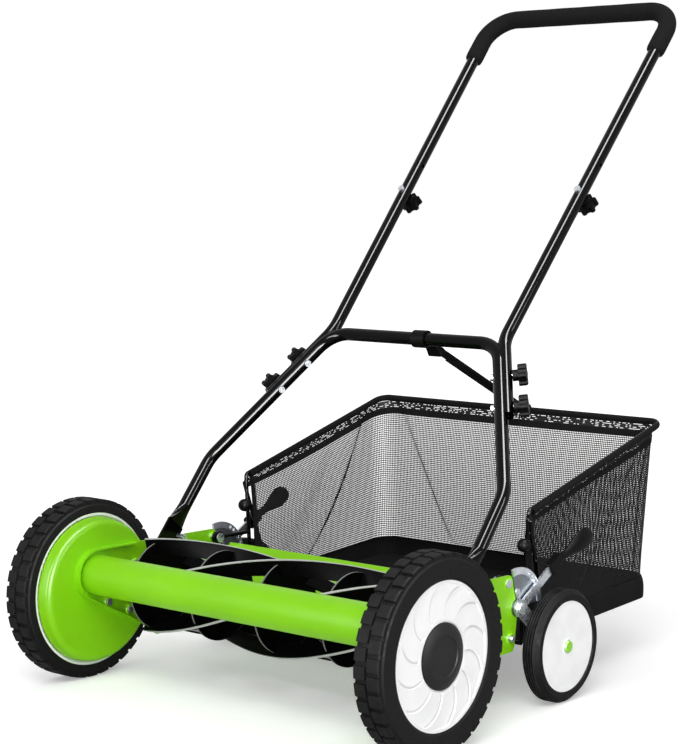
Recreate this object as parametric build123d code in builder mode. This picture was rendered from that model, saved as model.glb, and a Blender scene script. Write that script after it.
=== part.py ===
# Push reel mower with a hanging grass catcher.
# Millimetres. X runs along the drive axle to the operator's left, Y to the rear, Z up.
# The origin lies on the ground, midway under the drive axle.
import os
from math import atan2, cos, degrees, hypot, radians, sin

from build123d import *

os.makedirs("parts", exist_ok=True)

# Drive wheels
wheel_diameter = 254.0
wheel_width = 42.0
wheel_clearance = 18.0
tread_depth = 3.5
tyre_wall = 11.5
shoulder_radius = 5.0
lug_count = 36
lug_length = 16.0
lug_row_width = 17.5
lug_edge = 2.0
rim_lip = 4.0
rim_face_inset = 18.6
rim_edge_width = 5.0
hub_cap_radius = 41.6
hub_cap_height = 6.0
cap_wall = 1.6
cap_flat_radius = 26.0
cap_recess = 1.2
hub_radius = 17.0
swirl_count = 12
swirl_height = 1.8
swirl_turn = 26.0
swirl_middle_turn = -5.0
swirl_end_turn = -22.0
axle_radius = 8.0
axle_shoulder_radius = 11.0
running_fit = 0.05
running_gap = 0.3

# Side plates and what crosses between them
plate_thickness = 3.0
plate_nose_margin = 8.0
flange_depth = 7.0
flange_end_y = 60.0
arm_top_y = 226.0
arm_top_z = 184.0
arm_rear_y = 247.0
arm_rear_z = 160.0
arm_bottom_y = 236.0
arm_bottom_z = 80.0
arm_bolt_y = 226.8
arm_bolt_z = 98.9
plate_foot_z = 46.0
plate_foot_front = 35.0
plate_foot_rise = 12.0
plate_corner = 8.0
front_tube_diameter = 56.0
front_tube_wall = 2.0
front_tube_y = -16.0
front_tube_z = 153.0
dust_cover_gap = 4.5
dust_cover_bevel = 5.0
dust_cover_bend = 8.0
dust_cover_depth = 19.0
sheet = 1.5

# Reel and its drive
reel_radius = 70.0
reel_disc_radius = 63.0
reel_disc_thickness = 2.5
reel_disc_count = 5
reel_disc_inset = 14.0
reel_end_gap = 18.0
blade_count = 5
blade_width = 24.0
blade_thickness = 3.0
blade_half_length = 248.0
blade_pitch = 1200.0
blade_phase = 190.0
blade_phase_at = -47.0
shaft_radius = 8.0
bearing_radius = 14.0
bearing_flange_radius = 19.0
bearing_length = 12.0
ring_wall = 13.0
ring_teeth = 66
pinion_teeth = 10
gear_width = 12.0
tooth_share = 0.42
slot_fit = 0.2

# Bed knife and deflector
knife_angle = 22.0
knife_gap = 0.4
knife_width = 32.0
knife_thickness = 3.0
bar_thickness = 4.0
bar_upright = 26.0
lip_y = 243.0
lip_z = 163.0
lip_length = 12.0
lip_drop = 4.0
deflector_bend = 60.0

# Rear wheels and height levers
rear_wheel_diameter = 154.0
rear_wheel_y = 315.0
rear_wheel_reach = 35.0
rear_wheel_width = 25.5
rear_rim_radius = 61.6
rear_groove_count = 4
rear_groove_width = 2.2
rear_groove_depth = 2.0
rear_axle_radius = 6.0
rear_cap_radius = 8.0
rear_cap_height = 3.6
lever_pivot_y = 241.0
lever_pivot_z = 138.0
lever_thickness = 3.5
lever_strip_width = 12.0
lever_strip_angle = 30.0
lever_strip_length = 102.0
lever_sleeve_start = 80.0
lever_sleeve_length = 28.0
lever_sleeve_wall = 3.5
lever_sleeve_side = 3.0
spoon_width = 32.0
spoon_neck = 130.0
spoon_middle = 164.0
spoon_end = 182.0
spoon_drop = 15.0
spoon_out = 4.0
lever_arm_width = 20.0
lever_boss_radius = 12.0
sector_radius = 54.0
sector_start = 2.0
sector_end = 104.0
sector_rivet_reach = 21.0
sector_rivet_angle = 92.0
sector_thickness = 2.0
sector_rim_width = 9.0
notch_radius = 2.5
notch_step = 10.0
notch_count = 5
notch_below = 1
sector_rim_height = 1.5
pivot_bolt_radius = 5.0

# Handle
tube_diameter = 19.0
tube_wall = 1.4
crossbar_y = 365.0
crossbar_z = 474.0
crossbar_corner_x = 150.0
crossbar_bend = 50.0
leg_inset = 2.0
leg_bend_y = 217.0
leg_bend_z = 292.0
leg_bend = 60.0
handle_pivot_y = 108.0
handle_pivot_z = 163.0
flat_width = 34.0
flat_thickness = 3.2
flat_length = 54.0
flat_blend = 30.0
handle_bolt_radius = 5.0
stop_reach = 44.0
stop_radius = 5.0
stop_length = 10.0
mid_lap = 135.0
mid_rise = 248.6
mid_bend = 60.0
mid_start = 5.0
lap_offset = 8.0
spigot_length = 95.0
spigot_plug = 10.0
grip_corner_x = 170.8
grip_corner_y = 802.0
grip_corner_z = 961.0
grip_bend = 47.0
grip_diameter = 28.0
grip_leg = 90.7
knob_bolt_radius = 3.0
lap_bolt_spots = (60.0, 115.0)
joint_bolt_rise = 22.7
spare_hole_rise = 78.6
knob_radius = 16.5
knob_lobes = 6
knob_thickness = 12.0
knob_neck = 8.0
knob_neck_radius = 8.0
knob_edge = 1.5
knob_bolt_head = 4.8

# Grass catcher and strap
bag_front_y = 290.0
bag_back_y = 616.0
bag_back_lean = 8.0
bag_front_floor = 76.0
bag_back_floor = 116.0
bag_front_top = 257.0
bag_back_top = 347.0
bag_inset = 24.6
bag_side_slope = 0.06
bag_wall = 1.6
bag_floor_thickness = 2.5
wire_radius = 3.0
wire_bend = 18.0
pin_radius = 5.0
pin_y = 222.0
pin_z = 173.0
pin_reach = 16.0
pin_head_radius = 7.0
eye_radius = 9.0
eye_width = 6.0
post_knob_radius = 9.5
post_knob_z = 214.0
post_knob_y = 280.0
post_foot_rise = 2.0
brace_top_drop = 14.0
brace_root_drop = 10.0
brace_foot_y = 336.0
brace_foot_rise = 12.0
strap_x = 15.0
strap_width = 25.0
strap_thickness = 2.0
clip_width = 22.0
clip_wall = 3.0
clip_tail = 44.0
clip_hook = 11.0
strap_tuck = 15.0
strap_loop_gap = 3.0

# Fasteners
bolt_head_height = 4.0
nut_height = 4.5
rivet_tail = 1.5
cover_bolt_radius = 3.0
cover_bolt_head = 5.0
front_rivet_y = 8.0
front_rivet_z = 110.0
top_rivet_y = 62.0
top_rivet_z = 158.0
low_rivet_y = 50.0
low_rivet_z = 92.0

# Worked-out places
plate_inner_face = blade_half_length + reel_end_gap
plate_outer_face = plate_inner_face + plate_thickness
wheel_radius = wheel_diameter / 2
axle_z = wheel_radius
wheel_inner_face = plate_outer_face + wheel_clearance
wheel_outer_face = wheel_inner_face + wheel_width
tread_base = wheel_radius - tread_depth
rim_seat_radius = tread_base - tyre_wall
rim_inner_radius = rim_seat_radius - rim_lip
rim_face_radius = rim_seat_radius - rim_face_inset
dust_cover_radius = rim_inner_radius - dust_cover_gap
gear_module = 2 * (rim_seat_radius - ring_wall) / ring_teeth
reel_disc_pitch = 2 * (blade_half_length - reel_disc_inset) / (reel_disc_count - 1)
gear_distance = gear_module * (ring_teeth - pinion_teeth) / 2
reel_y = gear_distance
reel_z = axle_z
gear_start = wheel_inner_face + 4.0
gear_end = gear_start + gear_width
lever_inner_face = plate_outer_face + sector_thickness + 2.0
lever_outer_face = lever_inner_face + lever_thickness
rear_wheel_radius = rear_wheel_diameter / 2
rear_wheel_outer_face = plate_outer_face + rear_wheel_reach
rear_wheel_inner_face = rear_wheel_outer_face - rear_wheel_width
tube_radius = tube_diameter / 2
leg_x = plate_inner_face - leg_inset
bag_base_half_width = plate_inner_face - bag_inset
cover_bolt_spots = (
    (front_rivet_y, front_rivet_z),
    (top_rivet_y, top_rivet_z),
    (low_rivet_y, low_rivet_z),
)
axle_axis = Axis((0, 0, axle_z), (1, 0, 0))
reel_axis = Axis((0, reel_y, reel_z), (1, 0, 0))
rear_axis = Axis((0, rear_wheel_y, rear_wheel_radius), (1, 0, 0))


def radial_plane(y, z):
    """Plane through a cross axis: its x runs along X, its y away from the axis."""
    return Plane(origin=(0, y, z), x_dir=(1, 0, 0), z_dir=(0, -1, 0))


def write(piece, name):
    """Label one finished piece and save it."""
    piece.label = name
    export_step(piece, f"parts/{name}.step")


def write_pair(piece, name):
    """Save the piece of the left side and its mirror image of the right side."""
    write(piece, f"{name}_left")
    write(mirror(piece, about=Plane.YZ), f"{name}_right")


def flip(point):
    """The same point on the other side of the centre plane."""
    return Vector(-point.X, point.Y, point.Z)


def bent_rod(points, bends, radius, bore=0.0):
    """Round rod or tube along straight runs joined by arcs."""
    with BuildPart() as rod:
        with BuildLine() as route:
            if len(points) > 2:
                FilletPolyline(*points, radius=bends)
            else:
                Line(*points)
        with BuildSketch(Plane(origin=route.line @ 0, z_dir=route.line % 0)):
            Circle(radius)
            if bore > 0:
                Circle(bore, mode=Mode.SUBTRACT)
        sweep(path=route.line)
    return rod.part


def stepped_bar(origin, direction, steps):
    """Round bar from an origin along a direction, built from steps (start, end, radius)."""
    with BuildPart() as bar:
        for start, end, radius in steps:
            with BuildSketch(Plane(origin=Vector(origin) + Vector(direction) * start, z_dir=direction)):
                Circle(radius)
            extrude(amount=end - start)
    return bar.part


def gear_outline(teeth, root, tip, half_root, half_tip):
    """Corner points of straight-sided teeth; half widths are given in degrees."""
    points = []
    for k in range(teeth):
        middle = 360.0 * k / teeth
        for turn, radius in ((-half_root, root), (-half_tip, tip), (half_tip, tip), (half_root, root)):
            angle = radians(middle + turn)
            points.append((radius * cos(angle), radius * sin(angle)))
    return points


# Front tube between the side plates
with BuildPart() as front_tube:
    with BuildSketch(Plane.YZ.offset(-plate_inner_face)):
        with Locations((front_tube_y, front_tube_z)):
            Circle(front_tube_diameter / 2)
            Circle(front_tube_diameter / 2 - front_tube_wall, mode=Mode.SUBTRACT)
    extrude(amount=2 * plate_inner_face)
write(front_tube.part, "front_tube")

# Bed knife edge: a point just outside the reel, behind its lowest point
knife_reach = reel_radius + knife_gap
knife_y = reel_y + knife_reach * sin(radians(knife_angle))
knife_top = reel_z - knife_reach * cos(radians(knife_angle))
knife_bottom = knife_top - knife_thickness
bar_front = knife_y + 6.0
bar_rear = knife_y + knife_width + 8.0
bar_bottom = knife_bottom - bar_thickness

with BuildPart() as bed_knife:
    with BuildSketch(Plane.YZ.offset(-blade_half_length)):
        with BuildLine():
            Polyline(
                (knife_y, knife_top),
                (knife_y + knife_width, knife_top),
                (knife_y + knife_width, knife_bottom),
                (knife_y + knife_thickness, knife_bottom),
                close=True,
            )
        make_face()
    extrude(amount=2 * blade_half_length)
write(bed_knife.part, "bed_knife")

with BuildPart() as bed_bar:
    with BuildSketch(Plane.YZ.offset(-plate_inner_face)):
        with BuildLine():
            Polyline(
                (bar_front, knife_bottom),
                (bar_rear - bar_thickness, knife_bottom),
                (bar_rear - bar_thickness, knife_bottom + bar_upright),
                (bar_rear, knife_bottom + bar_upright),
                (bar_rear, bar_bottom),
                (bar_front, bar_bottom),
                close=True,
            )
        make_face()
    extrude(amount=2 * plate_inner_face)
write(bed_bar.part, "bed_bar")

# Deflector sheet: up the bed bar, back in a curve, and a lip bent down at the top
with BuildPart() as rear_deflector:
    with BuildSketch(Plane.YZ.offset(-blade_half_length)):
        with BuildLine():
            FilletPolyline(
                (bar_rear + sheet / 2, knife_bottom),
                (bar_rear + sheet / 2, knife_bottom + bar_upright + 6.0),
                (lip_y, lip_z),
                (lip_y + lip_length, lip_z - lip_drop),
                radius=(deflector_bend, lip_drop),
            )
        trace(line_width=sheet)
    extrude(amount=2 * blade_half_length)
write(rear_deflector.part, "rear_deflector")

# Side plate: round nose about the front tube, foot at the bed bar, arm to the rear
nose_radius = front_tube_diameter / 2 + plate_nose_margin
nose_end = 250.0
nose_end_y = front_tube_y + nose_radius * cos(radians(nose_end))
nose_end_z = front_tube_z + nose_radius * sin(radians(nose_end))
leg_run = hypot(leg_bend_y - handle_pivot_y, leg_bend_z - handle_pivot_z)
leg_y = (leg_bend_y - handle_pivot_y) / leg_run
leg_z = (leg_bend_z - handle_pivot_z) / leg_run
stop_side = flat_width / 2 + stop_radius + running_gap
stop_y = handle_pivot_y + stop_reach * leg_y + stop_side * leg_z
stop_z = handle_pivot_z + stop_reach * leg_z - stop_side * leg_y
sector_rivet_spot = (
    lever_pivot_y + sector_rivet_reach * cos(radians(sector_rivet_angle)),
    lever_pivot_z + sector_rivet_reach * sin(radians(sector_rivet_angle)),
)

with BuildPart() as side_plate:
    with BuildSketch(Plane.YZ.offset(plate_inner_face)) as plate_face:
        with BuildLine():
            CenterArc((front_tube_y, front_tube_z), nose_radius, 90.0, nose_end - 90.0)
            FilletPolyline(
                (nose_end_y, nose_end_z),
                (knife_y - plate_foot_front, bar_bottom + plate_foot_rise),
                (knife_y - 6.0, plate_foot_z),
                (bar_rear + 4.0, plate_foot_z),
                (bar_rear + 18.0, arm_bottom_z),
                (arm_bottom_y, arm_bottom_z),
                (arm_rear_y, arm_rear_z),
                (arm_top_y, arm_top_z),
                (front_tube_y, front_tube_z + nose_radius),
                radius=plate_corner,
            )
        make_face()
    extrude(amount=plate_thickness)
    with BuildSketch(Plane.YZ.offset(plate_inner_face)):
        add(plate_face.sketch_local)
        offset(amount=-sheet, mode=Mode.SUBTRACT)
        with Locations((flange_end_y, axle_z)):
            Rectangle(wheel_diameter, wheel_diameter, align=(Align.MIN, Align.CENTER), mode=Mode.SUBTRACT)
    extrude(amount=-flange_depth)
    with BuildSketch(Plane.YZ.offset(plate_inner_face)):
        with Locations((0, axle_z)):
            Circle(axle_radius)
        with Locations((reel_y, reel_z)):
            Circle(shaft_radius + 1.0)
        with Locations((lever_pivot_y, lever_pivot_z)):
            Circle(pivot_bolt_radius)
        with Locations((handle_pivot_y, handle_pivot_z)):
            Circle(handle_bolt_radius)
        with Locations((pin_y, pin_z)):
            Circle(pin_radius)
        with Locations((stop_y, stop_z)):
            Circle(stop_radius)
        with Locations(*cover_bolt_spots):
            Circle(cover_bolt_radius)
        with Locations((arm_bolt_y, arm_bolt_z)):
            Circle(cover_bolt_radius)
        with Locations(sector_rivet_spot):
            Circle(cover_bolt_radius)
    extrude(amount=plate_thickness, mode=Mode.SUBTRACT)
write_pair(side_plate.part, "side_plate")

# Dust cover: a flat disc with a bevelled edge that reaches into the wheel
cover_outer_face = plate_outer_face + sheet
cover_edge = plate_outer_face + dust_cover_depth
with BuildPart() as dust_cover:
    with BuildSketch(radial_plane(0, axle_z)):
        with BuildLine():
            FilletPolyline(
                (plate_outer_face + sheet / 2, axle_radius),
                (plate_outer_face + sheet / 2, dust_cover_radius - dust_cover_bevel),
                (cover_edge, dust_cover_radius - sheet),
                radius=dust_cover_bend,
            )
        trace(line_width=sheet)
    revolve(axis=axle_axis)
    with BuildSketch(Plane.YZ.offset(plate_outer_face)):
        with Locations((reel_y, reel_z)):
            Circle(shaft_radius + 1.0)
        with Locations(*cover_bolt_spots):
            Circle(cover_bolt_radius)
    extrude(amount=sheet, mode=Mode.SUBTRACT)
write_pair(dust_cover.part, "dust_cover")

# Stub axle of a drive wheel, with a shoulder that keeps the wheel off the cover
hub_start = cover_outer_face + 2.5
hub_end = wheel_outer_face - 8.0
rim_face = wheel_outer_face - 4.0
with BuildPart() as stub_axle:
    with BuildSketch(Plane.YZ.offset(plate_inner_face)):
        with Locations((0, axle_z)):
            Circle(axle_radius)
    extrude(amount=rim_face - 1.0 - plate_inner_face)
    with BuildSketch(Plane.YZ.offset(cover_outer_face)):
        with Locations((0, axle_z)):
            Circle(axle_shoulder_radius)
    extrude(amount=hub_start - running_gap - cover_outer_face)
write_pair(stub_axle.part, "stub_axle")

# Drive wheel tyre: smooth carcass under two staggered rows of lugs
tyre_lip_start = wheel_outer_face - 5.0
with BuildPart() as drive_tyre:
    with BuildSketch(radial_plane(0, axle_z)):
        with BuildLine():
            Polyline(
                (wheel_inner_face, rim_inner_radius),
                (wheel_inner_face, tread_base - shoulder_radius),
                (wheel_inner_face + shoulder_radius, tread_base),
                (wheel_outer_face - shoulder_radius, tread_base),
                (wheel_outer_face, tread_base - shoulder_radius),
                (wheel_outer_face, rim_face_radius + 3.0),
                (wheel_outer_face - 2.0, rim_face_radius),
                (tyre_lip_start, rim_face_radius),
                (tyre_lip_start, rim_seat_radius),
                (wheel_inner_face + 3.0, rim_seat_radius),
                (wheel_inner_face + 3.0, rim_inner_radius),
                close=True,
            )
        make_face()
    revolve(axis=axle_axis)
    row_starts = (wheel_inner_face + lug_edge, wheel_outer_face - lug_edge - lug_row_width)
    for row, row_start in enumerate(row_starts):
        with BuildSketch(Plane.YZ.offset(row_start)):
            with Locations((0, axle_z)):
                with PolarLocations(tread_base, lug_count, start_angle=180.0 * row / lug_count):
                    Rectangle(4 * tread_depth, lug_length)
                Circle(wheel_radius, mode=Mode.INTERSECT)
                Circle(tread_base - 1.0)
                Circle(rim_seat_radius + 2.0, mode=Mode.SUBTRACT)
        extrude(amount=lug_row_width)
    with BuildSketch(radial_plane(0, axle_z)):
        with BuildLine():
            FilletPolyline(
                (wheel_inner_face, 0),
                (wheel_inner_face, wheel_radius),
                (wheel_outer_face, wheel_radius),
                (wheel_outer_face, 0),
                radius=shoulder_radius,
            )
            Line((wheel_outer_face, 0), (wheel_inner_face, 0))
        make_face()
    revolve(axis=axle_axis, mode=Mode.INTERSECT)
write_pair(drive_tyre.part, "drive_tyre")

# Ring gear sizes and the inner edges of the drive wheel rim
pitch_tooth = tooth_share * gear_module * 3.14159265
ring_pitch_radius = gear_module * ring_teeth / 2
ring_tip = ring_pitch_radius - 0.73 * gear_module
ring_root = ring_pitch_radius + 1.13 * gear_module
ring_tip_half = degrees(0.62 * pitch_tooth / 2 / ring_tip)
ring_root_half = degrees(1.48 * pitch_tooth / 2 / ring_root)
band_inner = ring_root + 0.8
lip_inner = dust_cover_radius + 1.1


def swirl_point(radius, turn):
    """A point of the wheel face by its radius and its angle."""
    return (radius * cos(radians(turn)), axle_z + radius * sin(radians(turn)))


def swirl_vane():
    """One vane of the wheel face: a panel between two curved lines that slopes down from the first."""
    inner = hub_cap_radius + 5.0
    middle = 0.72 * rim_face_radius
    outer = rim_face_radius - rim_edge_width + 0.5
    ridge = Vector(rim_face + swirl_height, *swirl_point(middle, swirl_middle_turn))
    valley = Vector(rim_face, *swirl_point(middle, swirl_middle_turn + swirl_turn))
    run = Vector(0, *swirl_point(outer, swirl_end_turn)) - Vector(0, *swirl_point(inner, 0.0))
    with BuildPart() as vane:
        with BuildSketch(Plane.YZ.offset(rim_face - sheet)):
            with BuildLine():
                for turn in (0.0, swirl_turn):
                    ThreePointArc(
                        swirl_point(inner, turn),
                        swirl_point(middle, swirl_middle_turn + turn),
                        swirl_point(outer, swirl_end_turn + turn),
                    )
                for radius, turn in ((inner, 0.0), (outer, swirl_end_turn)):
                    ThreePointArc(
                        swirl_point(radius, turn),
                        swirl_point(radius, turn + swirl_turn / 2),
                        swirl_point(radius, turn + swirl_turn),
                    )
            make_face()
        extrude(amount=sheet + 2 * swirl_height)
        split(bisect_by=Plane(origin=ridge, z_dir=run.cross(valley - ridge)), keep=Keep.BOTTOM)
    return vane.part


# Drive wheel rim: hub, web with swirl vanes, band with the internal ring gear
one_vane = swirl_vane()
with BuildPart() as drive_rim:
    with BuildSketch(radial_plane(0, axle_z)):
        with BuildLine():
            Polyline(
                (hub_start, axle_radius + running_fit),
                (hub_end, axle_radius + running_fit),
                (hub_end, hub_radius + 3.0),
                (rim_face, hub_radius + 3.0),
                (rim_face, hub_cap_radius + 1.0),
                (rim_face + 2.0, hub_cap_radius + 2.0),
                (rim_face + 2.0, hub_cap_radius + 5.0),
                (rim_face, hub_cap_radius + 6.0),
                (rim_face, rim_face_radius - rim_edge_width),
                (rim_face + swirl_height, rim_face_radius - rim_edge_width + 1.0),
                (rim_face + swirl_height, rim_face_radius),
                (tyre_lip_start, rim_face_radius),
                (tyre_lip_start, rim_seat_radius),
                (wheel_inner_face + 3.0, rim_seat_radius),
                (wheel_inner_face + 3.0, rim_inner_radius),
                (wheel_inner_face + 0.5, rim_inner_radius),
                (wheel_inner_face + 0.5, lip_inner),
                (gear_start - 0.5, lip_inner),
                (gear_start - 0.5, band_inner),
                (rim_face - 5.0, band_inner),
                (rim_face - 7.0, hub_radius),
                (hub_start, hub_radius),
                close=True,
            )
        make_face()
    revolve(axis=axle_axis)
    with BuildSketch(Plane.YZ.offset(gear_start)):
        with Locations((0, axle_z)):
            Circle(band_inner + 0.5)
            with Locations(Rotation(0, 0, 180.0 / ring_teeth)):
                Polygon(
                    *gear_outline(ring_teeth, ring_root, ring_tip, ring_root_half, ring_tip_half),
                    align=None,
                    mode=Mode.SUBTRACT,
                )
    extrude(amount=gear_width)
    for k in range(swirl_count):
        add(one_vane.rotate(axle_axis, 360.0 * k / swirl_count))
write_pair(drive_rim.part, "drive_rim")

# Hub cap: thin dome with a flat middle over the axle end
cap_crown = rim_face + hub_cap_height
cap_shoulder = rim_face + 0.8 * hub_cap_height
cap_shoulder_radius = (hub_cap_radius + cap_flat_radius) / 2
cap_pan = cap_crown - cap_recess
with BuildPart() as hub_cap:
    with BuildSketch(radial_plane(0, axle_z)):
        with BuildLine():
            Polyline((rim_face, 0), (rim_face, hub_cap_radius), (rim_face + 2.0, hub_cap_radius))
            ThreePointArc(
                (rim_face + 2.0, hub_cap_radius),
                (cap_shoulder, cap_shoulder_radius),
                (cap_crown, cap_flat_radius),
            )
            Polyline(
                (cap_crown, cap_flat_radius),
                (cap_pan, cap_flat_radius - cap_recess),
                (cap_pan, 0),
                (rim_face, 0),
            )
        make_face()
    revolve(axis=axle_axis)
    with BuildSketch(radial_plane(0, axle_z)):
        with BuildLine():
            Polyline(
                (rim_face, 0),
                (rim_face, hub_cap_radius - cap_wall),
                (cap_shoulder - cap_wall, cap_shoulder_radius - cap_wall),
                (cap_pan - cap_wall, cap_flat_radius - cap_wall),
                (cap_pan - cap_wall, 0),
                close=True,
            )
        make_face()
    revolve(axis=axle_axis, mode=Mode.SUBTRACT)
write_pair(hub_cap.part, "hub_cap")

# Reel shaft, through both side plates into the wheels
with BuildPart() as reel_shaft:
    with BuildSketch(Plane.YZ.offset(-gear_end - 1.0)):
        with Locations((reel_y, reel_z)):
            Circle(shaft_radius)
    extrude(amount=2 * gear_end + 2.0)
write(reel_shaft.part, "reel_shaft")

# Pinion on the end of the reel shaft
pinion_pitch_radius = gear_module * pinion_teeth / 2
pinion_tip = pinion_pitch_radius + 0.87 * gear_module
pinion_root = pinion_pitch_radius - 1.2 * gear_module
pinion_tip_half = degrees(0.55 * pitch_tooth / 2 / pinion_tip)
pinion_root_half = degrees(1.3 * pitch_tooth / 2 / pinion_root)
with BuildPart() as pinion:
    with BuildSketch(Plane.YZ.offset(gear_start)):
        with Locations((reel_y, reel_z)):
            Polygon(
                *gear_outline(pinion_teeth, pinion_root, pinion_tip, pinion_root_half, pinion_tip_half),
                align=None,
            )
            Circle(shaft_radius, mode=Mode.SUBTRACT)
    extrude(amount=gear_width)
write_pair(pinion.part, "pinion")

# Flanged bearing of the reel shaft, on the inner face of the side plate
with BuildPart() as reel_bearing:
    with BuildSketch(radial_plane(reel_y, reel_z)):
        with BuildLine():
            Polyline(
                (plate_inner_face - bearing_length, shaft_radius + running_fit),
                (plate_inner_face, shaft_radius + running_fit),
                (plate_inner_face, bearing_flange_radius),
                (plate_inner_face - 3.0, bearing_flange_radius),
                (plate_inner_face - 3.0, bearing_radius),
                (plate_inner_face - bearing_length, bearing_radius),
                close=True,
            )
        make_face()
    revolve(axis=reel_axis)
write_pair(reel_bearing.part, "reel_bearing")


def helical_blade(thickness):
    """One blade about the Z axis: a flat strip swept along a left-hand helix."""
    middle = reel_radius - blade_width / 2
    with BuildPart() as strip:
        with BuildLine() as edge:
            Helix(blade_pitch, 2 * blade_half_length, middle, (0, 0, -blade_half_length), lefthand=True)
        with BuildSketch(Plane(origin=edge.line @ 0, x_dir=(1, 0, 0), z_dir=edge.line % 0)):
            Rectangle(blade_width, thickness)
        sweep(path=edge.line, is_frenet=True)
    return strip.part


# Reel blades, turned so that one stands at its phase angle above its named place
blade_turn = blade_phase + 360.0 * (blade_phase_at + blade_half_length) / blade_pitch
reel_plane = Plane(origin=(0, reel_y, reel_z), x_dir=(0, 1, 0), z_dir=(1, 0, 0))
one_blade = helical_blade(blade_thickness)
with BuildPart(reel_plane) as reel_blades:
    with PolarLocations(0, blade_count, start_angle=blade_turn):
        add(one_blade)
write(reel_blades.part, "reel_blades")

# Reel discs, slotted for the blades
one_slot = helical_blade(blade_thickness + 2 * slot_fit)
with BuildPart(reel_plane) as reel_discs:
    for k in range(reel_disc_count):
        disc_x = (k - (reel_disc_count - 1) / 2) * reel_disc_pitch
        with Locations((0, 0, disc_x)):
            Cylinder(reel_disc_radius, reel_disc_thickness)
            Cylinder(shaft_radius + 6.0, 5 * reel_disc_thickness)
    Cylinder(shaft_radius, 3 * blade_half_length, mode=Mode.SUBTRACT)
    with PolarLocations(0, blade_count, start_angle=blade_turn):
        add(one_slot, mode=Mode.SUBTRACT)
write(reel_discs.part, "reel_discs")

# Height sector: a quarter plate with a raised rim and a row of detent holes
notch_ring = sector_radius - sector_rim_width / 2
lever_face_plane = Plane(
    origin=(plate_outer_face, lever_pivot_y, lever_pivot_z),
    x_dir=(0, 1, 0),
    z_dir=(1, 0, 0),
)
sector_turn = sector_end - sector_start
with BuildPart() as sector_plate:
    with BuildSketch(lever_face_plane):
        with BuildLine():
            sweep_edge = CenterArc((0, 0), sector_radius, sector_start, sector_turn)
            Polyline(sweep_edge @ 1, (0, 0), sweep_edge @ 0)
        make_face()
        Circle(lever_boss_radius)
    extrude(amount=sector_thickness)
    with BuildSketch(lever_face_plane):
        with BuildLine():
            outer_edge = CenterArc((0, 0), sector_radius, sector_start, sector_turn)
            inner_edge = CenterArc((0, 0), sector_radius - sector_rim_width, sector_start, sector_turn)
            Line(outer_edge @ 0, inner_edge @ 0)
            Line(outer_edge @ 1, inner_edge @ 1)
        make_face()
    extrude(amount=sector_thickness + sector_rim_height)
    with BuildSketch(lever_face_plane):
        Circle(pivot_bolt_radius)
        with PolarLocations(sector_rivet_reach, 1, start_angle=sector_rivet_angle):
            Circle(cover_bolt_radius)
        with PolarLocations(
            notch_ring,
            notch_count,
            start_angle=lever_strip_angle - notch_below * notch_step,
            angular_range=(notch_count - 1) * notch_step,
            endpoint=True,
        ):
            Circle(notch_radius)
    extrude(amount=sector_thickness + sector_rim_height, mode=Mode.SUBTRACT)
write_pair(sector_plate.part, "sector_plate")

# Rivets, stop, catcher pin and axle clip of one side plate
across = (1, 0, 0)
sector_face = plate_outer_face + sector_thickness
frame_bolt_list = []
for spot_y, spot_z in cover_bolt_spots:
    frame_bolt_list.append(
        stepped_bar(
            (0, spot_y, spot_z),
            across,
            (
                (plate_inner_face - bolt_head_height, plate_inner_face, cover_bolt_head),
                (plate_inner_face, cover_outer_face, cover_bolt_radius),
                (cover_outer_face, cover_outer_face + rivet_tail, cover_bolt_head - 1.0),
            ),
        )
    )
frame_bolt_list.append(
    stepped_bar(
        (0, stop_y, stop_z),
        across,
        (
            (plate_inner_face - stop_length, plate_outer_face, stop_radius),
            (plate_outer_face, plate_outer_face + rivet_tail, stop_radius + 1.0),
        ),
    )
)
frame_bolt_list.append(
    stepped_bar(
        (0, pin_y, pin_z),
        across,
        (
            (plate_inner_face - pin_reach - 2.0, plate_inner_face - pin_reach, pin_head_radius),
            (plate_inner_face - pin_reach, plate_outer_face, pin_radius),
            (plate_outer_face, plate_outer_face + rivet_tail, pin_radius + 1.0),
        ),
    )
)
frame_bolt_list.append(
    stepped_bar(
        (0, *sector_rivet_spot),
        across,
        (
            (plate_inner_face - bolt_head_height, plate_inner_face, cover_bolt_head),
            (plate_inner_face, sector_face, cover_bolt_radius),
            (sector_face, sector_face + rivet_tail, cover_bolt_head),
        ),
    )
)
frame_bolt_list.append(
    stepped_bar(
        (0, arm_bolt_y, arm_bolt_z),
        across,
        (
            (plate_inner_face - bolt_head_height, plate_inner_face, cover_bolt_head),
            (plate_inner_face, plate_outer_face + nut_height + rivet_tail, cover_bolt_radius),
            (plate_outer_face, plate_outer_face + nut_height, cover_bolt_head),
        ),
    )
)
with BuildPart() as frame_bolts:
    for bolt in frame_bolt_list:
        add(bolt)
    with BuildSketch(Plane.YZ.offset(hub_end + running_gap)):
        with Locations((0, axle_z)):
            Circle(axle_radius + 6.0)
            Circle(axle_radius, mode=Mode.SUBTRACT)
    extrude(amount=2.0)
write_pair(frame_bolts.part, "frame_bolts")

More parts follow.
